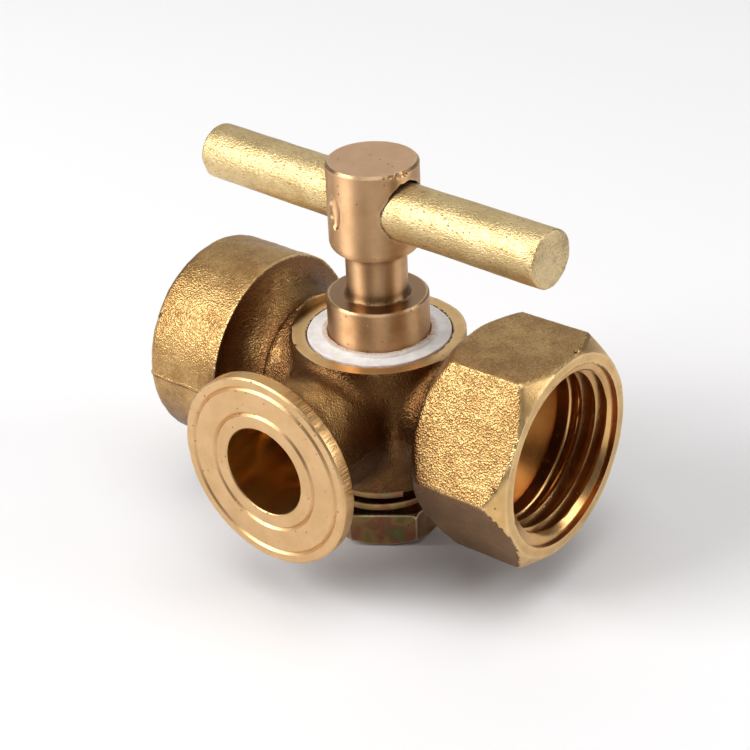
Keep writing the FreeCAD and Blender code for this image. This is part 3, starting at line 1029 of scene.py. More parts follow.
def eased(corners: Sequence[tuple[float, float, float]], steps: int = 4) -> Outline:
    """Return an outline with rounded corners.

    Args:
        corners: (along, away, radius of the corner) in order round the outline.
        steps: Chords of each rounded corner.

    Returns:
        The outline's points.
    """
    result: Outline = []
    total = len(corners)
    for index, (x, y, radius) in enumerate(corners):
        here = np.array((x, y))
        back = np.array(corners[index - 1][:2]) - here
        ahead = np.array(corners[(index + 1) % total][:2]) - here
        if radius <= 0.0:
            result.append((x, y))
            continue
        back_length, ahead_length = np.linalg.norm(back), np.linalg.norm(ahead)
        back, ahead = back / back_length, ahead / ahead_length
        half = 0.5 * math.acos(float(np.clip(back @ ahead, -1.0, 1.0)))
        run = min(radius / math.tan(half), 0.45 * back_length, 0.45 * ahead_length)
        for step in range(steps + 1):
            share = step / steps
            bend = (1 - share) ** 2 * (here + back * run) + 2 * share * (1 - share) * here
            bend = bend + share ** 2 * (here + ahead * run)
            result.append((float(bend[0]), float(bend[1])))
    return result


# ---------------------------------------------------------------- geometry trees


@dataclass
class Rule:
    """A Geometry Nodes tree with named inputs, run once to make a plain mesh."""

    name: str
    inputs: dict[str, float]
    tree: Tree = field(init=False)
    group: bpy.types.GeometryNodeTree = field(init=False)
    given: dict[str, Value] = field(init=False)

    def __post_init__(self) -> None:
        """Make the tree, its interface and its input node."""
        self.group = bpy.data.node_groups.new(self.name, "GeometryNodeTree")
        self.tree = Tree(self.group)
        interface = self.group.interface
        interface.new_socket("Geometry", in_out="INPUT", socket_type="NodeSocketGeometry")
        interface.new_socket("Geometry", in_out="OUTPUT", socket_type="NodeSocketGeometry")
        for label, value in self.inputs.items():
            kind = "NodeSocketInt" if isinstance(value, int) else "NodeSocketFloat"
            socket = interface.new_socket(label, in_out="INPUT", socket_type=kind)
            socket.default_value = value
        entry = self.tree.node("NodeGroupInput", {}, {})
        self.given = {socket.name: Value(self.tree, socket) for socket in entry.outputs
                      if socket.name}

    def finish(self, geometry: Value, material: bpy.types.Material) -> None:
        """End the tree in Realize Instances and Set Material."""
        plain = self.tree.add("GeometryNodeRealizeInstances", {}, {"Geometry": geometry})
        done = self.tree.add("GeometryNodeSetMaterial", {},
                             {"Geometry": plain, "Material": material})
        self.tree.node("NodeGroupOutput", {}, {0: done})

    def run(self, name: str, values: dict[str, float]) -> bpy.types.Object:
        """Run the tree and keep the result as a plain mesh.

        Args:
            name: Name of the piece.
            values: Values of the tree's inputs; the others keep their defaults.

        Returns:
            The piece, with no modifier left on it.
        """
        empty = bpy.data.meshes.new(name + "_start")
        carrier = bpy.data.objects.new(name + "_rule", empty)
        bpy.context.scene.collection.objects.link(carrier)
        modifier = carrier.modifiers.new(self.name, "NODES")
        modifier.node_group = self.group
        for socket in self.group.interface.items_tree:
            if socket.in_out == "INPUT" and socket.name in values:
                modifier[socket.identifier] = values[socket.name]
        graph = bpy.context.evaluated_depsgraph_get()
        mesh = bpy.data.meshes.new_from_object(carrier.evaluated_get(graph))
        bpy.data.objects.remove(carrier)
        bpy.data.meshes.remove(empty)
        mesh.name = name
        piece = bpy.data.objects.new(name, mesh)
        bpy.context.scene.collection.objects.link(piece)
        return piece


# ---------------------------------------------------------------- the housing


@dataclass
class PipeThread:
    """A half-inch parallel pipe thread cut in a bore, with its countersink and run-out."""

    pitch: float = 1.8143
    minor_r: float = 9.315
    depth: float = 1.16
    outer_r: float = 10.7
    run_out: float = 0.9
    sink_slope: float = 1.0
    samples_per_pitch: int = 20
    steps: int = 160

    def rule(self, material: bpy.types.Material) -> Rule:
        """Return the tree that bends a flat grid into the threaded wall.

        The grid's rows follow the helix, so the crests' edges stay clean; rows past either
        end are held at the end, and three last rows close the wall round its back.
        """
        rule = Rule("threaded_wall", {
            "Start": 0.0, "End": 1.0, "Pitch": self.pitch, "Minor Radius": self.minor_r,
            "Depth": self.depth, "Outer Radius": self.outer_r, "Thread Start": 0.0,
            "Run Out": self.run_out, "Sink Face": 1.0, "Sink Radius": self.minor_r,
            "Sink Slope": self.sink_slope, "Rows": 100, "Steps": self.steps,
            "Per Pitch": self.samples_per_pitch})
        tree, given = rule.tree, rule.given
        rows, steps = given["Rows"], given["Steps"]
        columns = steps + 1.0
        grid = tree.add("GeometryNodeMeshGrid", {},
                        {"Size X": rows + 2.0, "Size Y": steps + 0.0,
                         "Vertices X": rows + 3.0, "Vertices Y": columns})
        place = tree.add("GeometryNodeInputPosition", {}, {})
        row = (place.part(0) + (rows + 2.0) * 0.5).math("ROUND")
        turn = (place.part(1) + steps * 0.5) * TAU / steps
        low, high = given["Start"], given["End"]
        free = low + (row / given["Per Pitch"] - 1.0) * given["Pitch"] + \
            given["Pitch"] * turn / TAU
        held = free.math("MAXIMUM", low).math("MINIMUM", high)
        phase = ((held - given["Pitch"] * turn / TAU) / given["Pitch"]).math("FRACT")
        wave = (phase - 0.5).math("ABSOLUTE") * 2.0
        flank = ((wave - 0.1) / 0.7).clamped()
        inside_ends = (held - given["Thread Start"]) / given["Run Out"]
        cut = given["Depth"] * (1.0 - flank) * inside_ends.clamped().ramp(0.0, 1.0)
        sink = given["Sink Radius"] - (given["Sink Face"] - held).math("ABSOLUTE") * \
            given["Sink Slope"]
        wall = (given["Minor Radius"] + cut).math("MAXIMUM", sink)
        behind = row.math("GREATER_THAN", rows - 0.5)
        back = row.math("GREATER_THAN", rows + 0.5)
        closing = row.math("GREATER_THAN", rows + 1.5)
        radius = wall * (1.0 - behind) + given["Outer Radius"] * (behind - closing) + \
            given["Minor Radius"] * closing
        along = held * (1.0 - back) + low * back
        spot = tree.vector(along, radius * turn.math("COSINE"), radius * turn.math("SINE"))
        moved = tree.add("GeometryNodeSetPosition", {}, {"Geometry": grid, "Position": spot})
        rule.finish(moved, material)
        return rule

    def cut(self, rule: Rule, name: str, start: float, end: float, thread_start: float,
            sink_face: float, sink_radius: float, towards: float) -> bpy.types.Object:
        """Return one threaded wall.

        Args:
            rule: The tree.
            name: Name of the piece.
            start: Deep end of the wall, as a distance from the plug's axis.
            end: Outer end of the wall.
            thread_start: Where the thread runs out.
            sink_face: Where the countersink is widest.
            sink_radius: The countersink's radius there.
            towards: 1 for the port on +X and -1 for the port on -X.

        Returns:
            The piece, placed in the body.
        """
        rows = int(math.ceil(((end - start) / self.pitch + 1.0) * self.samples_per_pitch))
        piece = rule.run(name, {"Start": start, "End": end, "Thread Start": thread_start,
                                "Sink Face": sink_face, "Sink Radius": sink_radius,
                                "Rows": rows})
        turn = Matrix.Identity(4) if towards > 0 else Matrix.Rotation(math.pi, 4, "Z")
        piece.data.transform(Matrix.Translation(PLUG_AXIS) @ Matrix.Scale(MM, 4) @ turn)
        tidy(piece, 0.002)
        shade(piece, 28.0)
        return piece


@dataclass
class CastBody:
    """The forged and machined body: boss, flange neck, hexagonal port and round socket."""

    boss_r: float = 10.2
    boss_top: float = 8.0
    boss_bottom: float = -8.9
    boss_bottom_r: float = 8.95
    boss_taper: float = -3.0
    facing_r: float = 10.35
    gland_r: float = 8.49
    gland_floor: float = 5.6
    seat_floor_r: float = 7.83
    seat_bottom_r: float = 6.72
    hex_half: float = 12.0
    hex_face: float = 25.9
    hex_back: float = 13.3
    hex_front_corner: float = 24.1
    hex_back_corner: float = 15.3
    hex_face_r: float = 11.95
    mouth_r: float = 10.7
    thread_end: float = 18.6
    thread_minor_r: float = 9.315
    passage_r: float = 4.8
    cone_run: float = 2.713
    socket_r: float = 12.65
    socket_end: float = -26.3
    socket_edge: float = 1.2
    shoulder: float = -15.3
    fillet_r: float = 4.0
    core_r: float = 9.1
    core_end: float = -10.7
    neck_r: float = 7.6
    neck_arc: float = 9.3
    socket_mouth_r: float = 10.6
    socket_thread_start: float = 17.6
    socket_sink_in: float = 0.05
    hex_mouth_r: float = 9.95
    hex_thread_start: float = 20.0
    hex_sink_in: float = 0.4
    socket_thread_end: float = -16.4
    flange_face: float = -21.6
    flange_back: float = -19.75
    flange_r: float = 11.55
    flange_skin: float = 0.35
    flange_bore_r: float = 5.35
    flange_bore_end: float = -9.2
    flange_neck_r: float = 7.2
    flange_neck_fillet: float = 1.8
    pad_half: tuple[float, float] = (1.3, 1.6)
    pad_proud: float = 0.3
    pad_turn: float = -48.4
    blend: float = 1.1
    seam_height: float = 0.13
    seam_half_width: float = 0.17
    cell: float = 0.36
    nicks: tuple[tuple[float, float, float, float], ...] = (
        (24.85, -11.5, 4.9, 0.36), (24.65, -12.7, 2.5, 0.30), (25.1, -10.4, 6.4, 0.20),
        (24.9, -7.2, -12.0, 0.25), (14.1, -11.5, 5.3, 0.30), (9.2, -4.6, 8.1, 0.22),
        (-6.1, -8.2, 8.05, 0.20), (-25.6, -10.3, 7.1, 0.30), (25.3, 2.4, 11.9, 0.26))

    def __post_init__(self) -> None:
        """Draw the outlines and the unevenness once."""
        waist = self.shoulder + self.fillet_r
        self.socket_line = [(self.socket_end, 0.0), (0.0, 0.0), (0.0, self.core_r),
                            (self.core_end, self.core_r)]
        self.socket_line += arc((waist, self.socket_r), self.fillet_r, 270.0, 180.0, 10)
        edge = self.socket_edge
        self.socket_line += arc((self.socket_end + edge, self.socket_r - edge), edge,
                                90.0, 180.0, 5)
        corner_r = self.hex_half * 2.0 / math.sqrt(3.0)
        self.hex_line = [(self.hex_back, 0.0), (self.hex_face, 0.0),
                         (self.hex_face, self.hex_face_r), (self.hex_front_corner, corner_r),
                         (self.hex_back_corner, corner_r), (self.hex_back, self.hex_half)]
        neck_top = self.neck_r + self.fillet_r
        self.neck_line = [(0.0, 0.0), (self.hex_back + 1.0, 0.0), (self.hex_back + 1.0, neck_top)]
        self.neck_line += arc((self.neck_arc, neck_top), self.fillet_r, 0.0, -90.0, 10)
        self.neck_line += [(0.0, self.neck_r)]
        front = self.flange_face + self.flange_skin
        inner_r = self.flange_r - self.flange_skin
        neck_fillet = arc((self.flange_back + self.flange_neck_fillet,
                           self.flange_neck_r + self.flange_neck_fillet),
                          self.flange_neck_fillet, 180.0, 270.0, 6)
        self.flange_line = [(0.0, 0.0), (front, 0.0), (front, inner_r),
                            (self.flange_back, inner_r)] + neck_fillet + [(0.0, self.flange_neck_r)]
        self.boss_line = [(self.boss_bottom, 0.0), (self.boss_bottom, self.boss_bottom_r - 0.2),
                          (self.boss_bottom + 0.2, self.boss_bottom_r),
                          (self.boss_taper, self.boss_r), (self.boss_top + 0.5, self.boss_r),
                          (self.boss_top + 0.5, 0.0)]
        self.gland_line = [(self.boss_bottom - 1.0, 0.0),
                           (self.boss_bottom - 1.0, self.seat_bottom_r),
                           (self.gland_floor, self.seat_floor_r), (self.gland_floor, self.gland_r),
                           (self.boss_top - 0.25, self.gland_r),
                           (self.boss_top + 1.0, self.gland_r + 1.25), (self.boss_top + 1.0, 0.0)]
        self.hex_cut = [(0.0, 0.0), (0.0, self.passage_r),
                        (self.thread_end - self.cone_run, self.passage_r),
                        (self.thread_end, self.thread_minor_r), (self.thread_end, self.mouth_r),
                        (self.hex_face + 1.0, self.mouth_r), (self.hex_face + 1.0, 0.0)]
        deep = self.socket_thread_end
        self.socket_cut = [(0.0, 0.0), (self.socket_end - 1.0, 0.0),
                           (self.socket_end - 1.0, self.mouth_r), (deep, self.mouth_r),
                           (deep, self.thread_minor_r), (deep + self.cone_run, self.passage_r),
                           (0.0, self.passage_r)]
        step = self.flange_bore_r + self.flange_skin
        self.flange_cut = [(0.0, 0.0), (self.flange_face - 1.0, 0.0),
                           (self.flange_face - 1.0, step), (self.flange_bore_end, step),
                           (self.flange_bore_end, self.flange_bore_r),
                           (self.flange_bore_end + 0.33, self.passage_r), (0.0, self.passage_r)]
        self.slow = Ripple(11, 5.5)
        self.quick = Ripple(12, 1.5, 18)

    def forging(self, points: Array) -> Array:
        """Return the distance to the rough forging, before any machining."""
        x, y, z = points.T
        from_x, from_y, from_z = np.hypot(y, z), np.hypot(x, z), np.hypot(x, y)
        prism = np.maximum(np.abs(z), np.abs(0.5 * z + math.sqrt(0.75) * y))
        prism = np.maximum(prism, np.abs(0.5 * z - math.sqrt(0.75) * y)) - self.hex_half
        hexagon = overlap(prism, outline_distance(x, from_x, self.hex_line), 0.35)
        neck = outline_distance(x, from_x, self.neck_line)
        socket = outline_distance(x, from_x, self.socket_line)
        flange = outline_distance(y, from_y, self.flange_line)
        boss = outline_distance(z, from_z, self.boss_line)
        turn = math.radians(self.pad_turn)
        out = x * math.cos(turn) + y * math.sin(turn)
        side = y * math.cos(turn) - x * math.sin(turn)
        pad = np.maximum(np.abs(side) - self.pad_half[0], np.abs(z) - self.pad_half[1])
        pad = np.maximum(pad, np.maximum(out - self.boss_r - self.pad_proud, -out))
        solid = join(boss, socket, self.blend)
        solid = join(solid, neck, self.blend)
        solid = join(solid, flange, self.blend * 1.3)
        solid = join(solid, pad, 0.25)
        rough = solid - 0.035 * self.slow.at(points) - 0.02 * self.quick.at(points)
        seam = self.seam_height * np.exp(-np.square(z / self.seam_half_width))
        rough = rough - seam * (x < 12.5) * (y > self.flange_back - 0.5)
        hexagon = hexagon - 0.012 * self.slow.at(points) - 0.012 * self.quick.at(points) * (
            1.0 - smooth_step(x, 23.5, 24.0))
        return join(rough, hexagon, 0.45)

    def distance(self, points: Array) -> Array:
        """Return the distance to the finished body."""
        x, y, z = points.T
        from_x, from_y, from_z = np.hypot(y, z), np.hypot(x, z), np.hypot(x, y)
        solid = self.forging(points)
        solid = np.maximum(solid, x - self.hex_face)
        solid = carve(solid, np.maximum(from_z - self.facing_r, self.boss_top - z))
        solid = carve(solid, np.maximum(from_z - self.facing_r, z - self.boss_bottom))
        solid = np.maximum(solid, self.flange_face + self.flange_skin - y)
        for x0, y0, z0, radius in self.nicks:
            gap = np.sqrt((x - x0) ** 2 + (y - y0) ** 2 + ((z - z0) * 0.7) ** 2)
            solid = carve(solid, gap - radius)
        solid = carve(solid, outline_distance(z, from_z, self.gland_line))
        solid = carve(solid, outline_distance(x, from_x, self.hex_cut))
        solid = carve(solid, outline_distance(x, from_x, self.socket_cut))
        return carve(solid, outline_distance(y, from_y, self.flange_cut))

    def finish_of_faces(self, piece: bpy.types.Object) -> None:
        """Give each face its finish by its place and the way it looks.

        The finishes are 0 forged, 1 faced, 2 bored and 3 the boss's turned wall and faces.

        Args:
            piece: The body.
        """
        mesh = piece.data
        count = len(mesh.polygons)
        centre, normal = np.empty(count * 3), np.empty(count * 3)
        mesh.polygons.foreach_get("center", centre)
        mesh.polygons.foreach_get("normal", normal)
        x, y, z = ((centre.reshape(-1, 3) - np.array(PLUG_AXIS)) / MM).T
        across, ahead, up = normal.reshape(-1, 3).T
        from_x, from_z = np.hypot(y, z), np.hypot(x, y)
        outward = (ahead * y + up * z) / from_x
        finish = np.zeros(count, dtype=int)
        finish[(x > 23.6) & (across > 0.3)] = 1
        finish[(x < self.socket_end + 0.15) & (across < -0.8)] = 1
        on_boss = from_z < self.facing_r
        finish[on_boss & (np.abs(z - self.boss_top) < 0.12) & (up > 0.8)] = 3
        finish[on_boss & (np.abs(z - self.boss_bottom) < 0.12) & (up < -0.8)] = 3
        in_boss = (z > self.boss_bottom) & (z < self.boss_top - 0.1)
        finish[(from_z < self.gland_r + 0.4) & in_boss] = 2
        finish[(from_x < self.mouth_r + 0.05) & (np.abs(x) > 9.0) & (outward < 0.1)] = 2
        finish[(np.hypot(x, z) < 6.0) & (y < -8.0)] = 2
        wall = (np.abs(from_z - self.facing_r) < 0.12) & (np.abs(up) < 0.4) & (z > self.boss_top)
        finish[wall] = 3
        mesh.polygons.foreach_set("material_index", finish)

    def build(self) -> bpy.types.Object:
        """Return the body's mesh."""
        # Faces that look down get extra painted shade through the shelter attribute
        work = Sculpture(self.distance, (-26.6, -21.8, -13.2), (26.3, 14.3, 13.2), self.cell,
                         close_levels=((-0.48, 0.48, 0.16),), painted_underside_shade=0.5)
        piece = work.build("body_forging")
        self.finish_of_faces(piece)
        shade(piece, 38.0)
        return piece


@dataclass
class FlangeFacing:
    """The machined front of the flange: face, sealing grooves, rim and bore wall."""

    body: CastBody
    grooves: tuple[float, float] = (7.12, 10.23)
    half_width: float = 0.26
    groove_depth: float = 0.30
    rim_break: float = 0.22
    steps: int = 288

    def outline(self) -> Outline:
        """Return the outline of the facing, a shell in front of the body."""
        b = self.body
        face, back, skin = b.flange_face, b.flange_back, b.flange_skin
        points = [(face + 0.12, b.flange_bore_r, 0.0), (face, b.flange_bore_r + 0.10, 0.03)]
        for radius in self.grooves:
            points += [(face, radius - self.half_width, 0.05),
                       (face + self.groove_depth, radius, 0.04),
                       (face, radius + self.half_width, 0.05)]
        points += [(face, b.flange_r - self.rim_break, 0.06),
                   (face + self.rim_break, b.flange_r, 0.06),
                   (back - self.rim_break, b.flange_r, 0.06),
                   (back, b.flange_r - self.rim_break, 0.04),
                   (back, b.flange_r - skin, 0.0),
                   (face + skin, b.flange_r - skin, 0.0),
                   (face + skin, b.flange_bore_r + skin, 0.0),
                   (b.flange_bore_end, b.flange_bore_r + skin, 0.0),
                   (b.flange_bore_end, b.flange_bore_r, 0.0)]
        return eased(points, 3)

    def dents(self, vertices: Array) -> Array:
        """Return the vertices with the rim's small knocks."""
        random = np.random.default_rng(31)
        x, y, z = vertices.T
        away = np.hypot(x, z)
        angle = np.arctan2(z, x)
        outer = smooth_step(away, self.body.flange_r - 0.6, self.body.flange_r - 0.1)
        push = np.zeros(len(vertices))
        for _ in range(22):
            middle_angle = random.uniform(-math.pi, math.pi)
            width = random.uniform(0.010, 0.035)
            depth = random.uniform(0.03, 0.12)
            place = self.body.flange_face + random.choice([0.0, 1.85])
            gap = np.angle(np.exp(1j * (angle - middle_angle)))
            near = np.exp(-np.square((y - place) / 0.35))
            push += depth * np.exp(-np.square(gap / width)) * near
        scale = 1.0 - outer * push / np.maximum(away, 1e-6)
        return np.stack([x * scale, y, z * scale], axis=-1)

    def build(self) -> bpy.types.Object:
        """Return the facing's mesh: face, bore and rim in the first, second and third finish."""
        piece = Lathe(self.outline(), Axis.Y, self.steps, self.dents).build("flange_facing")
        mesh = piece.data
        for polygon in mesh.polygons:
            centre = (polygon.center - PLUG_AXIS) / MM
            away = math.hypot(centre.x, centre.z)
            polygon.material_index = int(away < self.body.flange_bore_r + 0.02
                                         or centre.y > self.body.flange_back + 0.1)
            if abs(away - self.body.flange_r) < 0.1 and polygon.material_index == 0:
                polygon.material_index = 2
        return piece


@dataclass
class RimChatter:
    """Chatter marks of the facing tool: short raised lines across the flange's rim."""

    radius: float = 11.55
    thickness: float = 1.35
    middle_y: float = -20.68
    count: int = 150
    first: float = -62.0
    last: float = 74.0

    def build(self, material: bpy.types.Material) -> bpy.types.Object:
        """Return the marks as one mesh.

        Args:
            material: The rim's finish.

        Returns:
            The marks, placed on the rim.
        """
        rule = Rule("rim_chatter", {
            "Radius": self.radius, "Length": self.thickness, "Place": self.middle_y,
            "First": math.radians(self.first), "Last": math.radians(self.last),
            "Count": self.count, "Seed": 5})
        tree, given = rule.tree, rule.given
        line = tree.add("GeometryNodeMeshLine", {"mode": "OFFSET"},
                        {"Count": given["Count"], "Offset": (0.0, 0.0, 0.001)})
        share = tree.add("GeometryNodeInputIndex", {}, {}) / (given["Count"] - 1.0)
        jitter = tree.add("FunctionNodeRandomValue", {"data_type": "FLOAT"},
                          {"Min": -0.03, "Max": 0.03, "Seed": given["Seed"]}, output="Value")
        angle = given["First"] + (given["Last"] - given["First"]) * share + jitter
        reach = tree.add("FunctionNodeRandomValue", {"data_type": "FLOAT"},
                         {"Min": 0.15, "Max": 0.95, "Seed": given["Seed"] + 1.0}, output="Value")
        shift = tree.add("FunctionNodeRandomValue", {"data_type": "FLOAT"},
                         {"Min": -0.5, "Max": 0.5, "Seed": given["Seed"] + 2.0}, output="Value")
        spot = tree.vector(given["Radius"] * angle.math("COSINE"),
                           given["Place"] + shift * given["Length"] * (1.0 - reach),
                           given["Radius"] * angle.math("SINE"))
        placed = tree.add("GeometryNodeSetPosition", {}, {"Geometry": line, "Position": spot})
        ridge = tree.add("GeometryNodeMeshCylinder", {"fill_type": "TRIANGLE_FAN"},
                         {"Vertices": 6, "Radius": 0.055, "Depth": 1.0})
        turn = tree.vector(math.pi / 2.0, 0.0, 0.0)
        size = tree.vector(1.0, 0.45, reach * given["Length"])
        flat = tree.add("GeometryNodeTransform", {}, {"Geometry": ridge, "Rotation": turn})
        turned = tree.vector(0.0, math.pi / 2.0 - angle, 0.0)
        marks = tree.add("GeometryNodeInstanceOnPoints", {},
                         {"Points": placed, "Instance": flat, "Rotation": turned,
                          "Scale": tree.vector(size.part(0), size.part(2), size.part(1))})
        rule.finish(marks, material)
        piece = rule.run("flange_rim_chatter", {})
        piece.data.transform(Matrix.Translation(PLUG_AXIS) @ Matrix.Scale(MM, 4))
        shade(piece, 60.0)
        return piece


@dataclass
class PackingRing:
    """The white sealing ring, cut at a slant and pressed into the boss."""

    inner_r: float = 6.0
    outer_r: float = 8.42
    bottom: float = 5.62
    top: float = 8.2
    lip_r: float = 6.75
    lip_top: float = 8.5
    cut_at: float = 18.0
    cut_width: float = 0.22
    steps: int = 256

    def soften(self, vertices: Array) -> Array:
        """Return the ring's vertices, pressed unevenly and parted at its slanted cut."""
        slow, quick = Ripple(41, 5.0), Ripple(42, 1.4)
        x, y, z = vertices.T
        away, angle = np.hypot(x, y), np.arctan2(y, x)
        upper = smooth_step(z, self.top - 0.6, self.top - 0.05)
        z = z + upper * (0.05 * slow.at(vertices) + 0.03 * quick.at(vertices) - 0.03)
        slant = math.radians(self.cut_at) + (away - self.inner_r) * 0.12
        gap = np.angle(np.exp(1j * (angle - slant))) * away
        z = z - upper * 0.55 * np.exp(-np.square(gap / self.cut_width))
        lip = smooth_step(z, self.top + 0.05, self.lip_top)
        frill = 1.0 + lip * 0.012 * quick.at(vertices * 1.5)
        return np.stack([x * frill, y * frill, z], axis=-1)

    def build(self) -> bpy.types.Object:
        """Return the ring's mesh."""
        rings = [(self.bottom, self.inner_r, 0.05), (self.bottom, self.outer_r, 0.05),
                 (self.top - 0.02, self.outer_r, 0.18)]
        for step in range(1, 6):
            share = step / 6.0
            rings.append((self.top - 0.10 * math.sin(share * math.pi),
                          self.outer_r + (self.lip_r + 0.12 - self.outer_r) * share, 0.0))
        rings += [(self.top - 0.02, self.lip_r + 0.12, 0.08),
                  (self.lip_top - 0.06, self.lip_r, 0.10),
                  (self.lip_top, self.inner_r + 0.12, 0.10),
                  (self.lip_top - 0.3, self.inner_r, 0.04)]
        return Lathe(eased(rings, 3), Axis.Z, self.steps, self.soften).build("packing_seal")


@dataclass
class Housing:
    """Everything that stays still: the body, its machined inserts and the packing."""

    body: CastBody = field(default_factory=CastBody)
    thread: PipeThread = field(default_factory=PipeThread)
    packing: PackingRing = field(default_factory=PackingRing)

    def build(self) -> None:
        """Build and dress the housing's pieces."""
        forged = ForgedBrass().build()
        faced = TurnedMetal("faced_brass_x", Axis.X, light=(0.84, 0.56, 0.25),
                            dark=(0.60, 0.37, 0.14), rings_per_mm=5.0, ring_depth_mm=0.012,
                            roughness=0.30, grain_depth_mm=0.020, pit_share=0.3).build()
        # The bores get strong painted shade from the shelter attribute, towards a dark brown
        bored = TurnedMetal("bored_brass_x", Axis.X, light=(0.42, 0.19, 0.05),
                            dark=(0.27, 0.10, 0.022), ring_depth_mm=0.010, roughness=0.22,
                            pit_share=0.05, painted_shade=0.95, painted_shade_from=0.15,
                            deep=(0.24, 0.07, 0.012)).build()
        wall = TurnedMetal("turned_boss", Axis.Z, light=(0.84, 0.57, 0.28),
                           dark=(0.66, 0.42, 0.17), ring_depth_mm=0.008, roughness=0.30).build()
        face_y = TurnedMetal("faced_brass_y", Axis.Y, light=(0.76, 0.50, 0.26),
                             dark=(0.62, 0.39, 0.18), rings_per_mm=4.0, ring_depth_mm=0.012,
                             roughness=0.33, grain_depth_mm=0.020, pit_share=0.35).build()
        bore_y = TurnedMetal("bored_brass_y", Axis.Y, light=(0.99, 0.72, 0.28),
                             dark=(0.94, 0.60, 0.19), roughness=0.16, pit_share=0.0,
                             painted_shade=0.0).build()
        rim_y = TurnedMetal("turned_rim", Axis.Y, light=(0.76, 0.50, 0.24),
                            dark=(0.60, 0.36, 0.15), roughness=0.27).build()
        cut = TurnedMetal("cut_thread", Axis.X, light=(0.80, 0.50, 0.22),
                          dark=(0.62, 0.34, 0.12), roughness=0.17, pit_share=0.10).build()
        dress(self.body.build(), Body.HOUSING, Slot.CAST_BRASS, forged, faced, bored, wall,
              stands_for=("valve_body",))
        dress(FlangeFacing(self.body).build(), Body.HOUSING, Slot.CAST_BRASS, face_y, bore_y, rim_y)
        dress(RimChatter().build(rim_y), Body.HOUSING, Slot.CAST_BRASS)
        rule = self.thread.rule(cut)
        body = self.body
        hex_end = body.hex_face - body.hex_sink_in
        hex_thread = self.thread.cut(
            rule, "hex_port_thread", start=body.thread_end, end=hex_end,
            thread_start=body.hex_thread_start, sink_face=hex_end,
            sink_radius=body.hex_mouth_r, towards=1.0)
        dress(hex_thread, Body.HOUSING, Slot.CAST_BRASS)
        socket_end = -body.socket_end - body.socket_sink_in
        socket_thread = self.thread.cut(
            rule, "socket_port_thread", start=-body.socket_thread_end, end=socket_end,
            thread_start=body.socket_thread_start, sink_face=socket_end,
            sink_radius=body.socket_mouth_r, towards=-1.0)
        dress(socket_thread, Body.HOUSING, Slot.CAST_BRASS)
        dress(self.packing.build(), Body.HOUSING, Slot.PACKING_WHITE, WhitePacking().build(),
              stands_for=("packing_ring",))


# ---------------------------------------------------------------- the plug and its handle


def turn_with_handle(piece: bpy.types.Object) -> bpy.types.Object:
    """Turn a piece drawn square to the ports to the handle's resting direction."""
    about = Matrix.Translation(PLUG_AXIS)
    piece.data.transform(about @ Matrix.Rotation(HANDLE_YAW, 4, "Z") @ about.inverted())
    return piece


